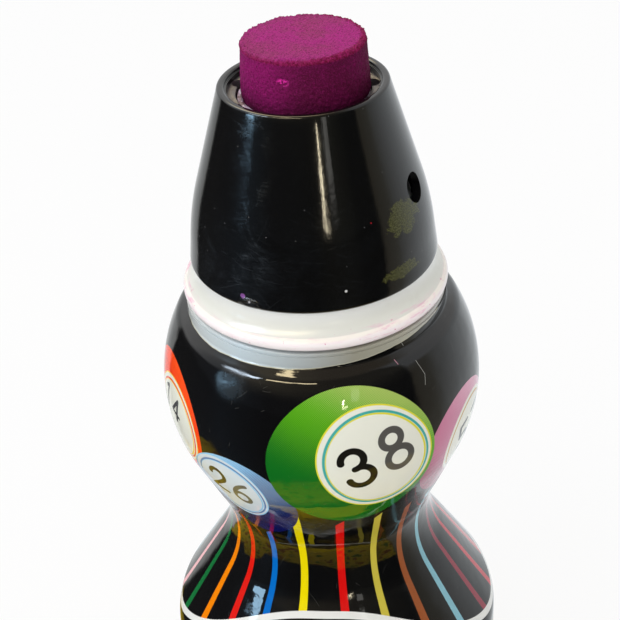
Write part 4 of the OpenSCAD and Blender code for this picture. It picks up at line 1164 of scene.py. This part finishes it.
# Painted light and shade: the left side is painted lighter, the front and the right darker
painted_shade_by_azimuth = by_azimuth(shade, azimuth, [(at, (share, share, share)) for at, share in (
    (-180, 0.5), (-108, 0.12), (-28.8, 0.14), (0, 0.8), (79.2, 0.92), (180, 0.5))])
ink_and_shade_share = shade.plus(painted_shade_by_azimuth, shade.times_plus(soaked, 0.9, -0.45), clamp=True)
side = shade.mix(ink_and_shade_share, ink(140, 12, 98), ink(78, 2, 44))
# The side is darker towards the foot
side = shade.mix(shade.step(height, 128, 124.5, 0.0, 0.5), side, ink(52, 1, 26))
top = shade.mix(shade.step(soaked, 0.4, 0.6), ink(150, 54, 106), ink(164, 44, 122))
sand = shade.noise(place, 7500, 2, 0.7)
light_sand = shade.times(shade.step(sand, 0.52, 0.66), shade.times_plus(upper, 0.4, 0.12))
rim_share = shade.times(shade.step(from_axis, 7.62, 7.95), shade.step(height, 131.3, 131.6))
crumbs = shade.mix(shade.step(cells_fine, 0.46, 0.54), ink(104, 8, 44), ink(146, 22, 84))
color = shade.coats(
    side, (upper, top), (shade.step(cells_fine, 0.49, 0.36, 0.0, 0.75), ink(66, 0, 34)),
    (shade.step(cells_fine, 0.54, 0.7, 0.0, 0.2), ink(190, 40, 140)), (light_sand, ink(206, 48, 160)),
    (shade.step(sand, 0.48, 0.34, 0.0, 0.5), ink(84, 4, 48)), (shade.times(rim_share, 0.8), crumbs))
# A nick in the side shows brighter foam
nick_at = shade.join(shade.times(azimuth, FOAM_DEGREE), height)
nick = shade.spot(nick_at, (-2.7, 129.3), (0.9, 1.3), inner=0.4)
bright_bits = shade.times(nick, shade.step(cells_coarse, 0.47, 0.56))
color = shade.mix(bright_bits, color, ink(236, 50, 170))
shade.fill(surface["Base Color"], color)
relief = shade.times_plus(cells_fine, 0.00012, shade.times(cells_coarse, 0.00018))
relief = shade.times_plus(nick, -0.0004, relief)
shade.emboss(surface, relief)
set_down(foam, "tip", "foam_tip", slot="inked_foam", paint=foam_paint)

# %% [markdown]
# ## The felt disc
#
# Under the foam, a pressed felt disc spreads the ink from the cup's holes. It is out of sight until the cup
# is taken apart: a turned disc with soft edges and a little unevenness, in the same ink.

# %% Turn the felt
felt = turn("felt_pad", eased([(0, 119.53), (7.95, 119.53), (7.95, 120.68), (0, 120.68)], 0.35), 96)
felt_paint, shade, surface = finish_material("inked_felt", 1.0, 1.3)
place = shade.on_object()
fibre = shade.noise(shade.stretched(place, (1, 1, 4)), 2600, 4, 0.7, 0.8)
shade.fill(surface["Base Color"], shade.mix(shade.step(fibre, 0.3, 0.7), ink(90, 4, 78), ink(170, 30, 130)))
shade.emboss(surface, shade.times(fibre, 0.0001))
set_down(felt, "tip", "felt_disc", slot="inked_felt", paint=felt_paint)

# %% [markdown]
# ## Pieces inside
#
# Valve, spring, seals and gasket are out of sight in the assembled dauber, and their CAD meshes are right as
# they are. They get finishes: moulded plastic, rubber and drawn wire. The spring alone is replaced by a copy
# of its mesh with softened edges. The real spring shortens when the tip is pressed.

# %% Finish the inner pieces
inner_paints = {
    "valve_body": plastic("valve_plastic", (0.012, 0.012, 0.013), 0.4),
    "valve_stem": plastic("stem_plastic", (0.62, 0.62, 0.6), 0.4),
    "poppet_seal": plastic("seal_rubber", (0.02, 0.02, 0.02), 0.5, grain=3500, scuff=0.25),
    "valve_spring": plastic("spring_steel", (0.55, 0.55, 0.53), 0.22, grain=6000, Metallic=1.0),
    "neck_gasket": plastic("gasket_rubber", (0.09, 0.09, 0.1), 0.7, grain=3500, scuff=0.2),
}
inner_paints["wiper_ring"] = inner_paints["poppet_seal"]
inner_paints["spring_basket"] = inner_paints["valve_body"]
for node_name, paint in inner_paints.items():
    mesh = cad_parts[node_name].data
    mesh.materials.clear()
    mesh.materials.append(paint)
print("inner pieces finished:", sorted(inner_paints))

# %% A copy of the spring with softened edges
spring = softened("return_spring", "valve_spring", 0.05)
set_down(spring, "dauber_body", "valve_spring", slot="spring_steel", paint=inner_paints["valve_spring"])
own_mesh(spring)
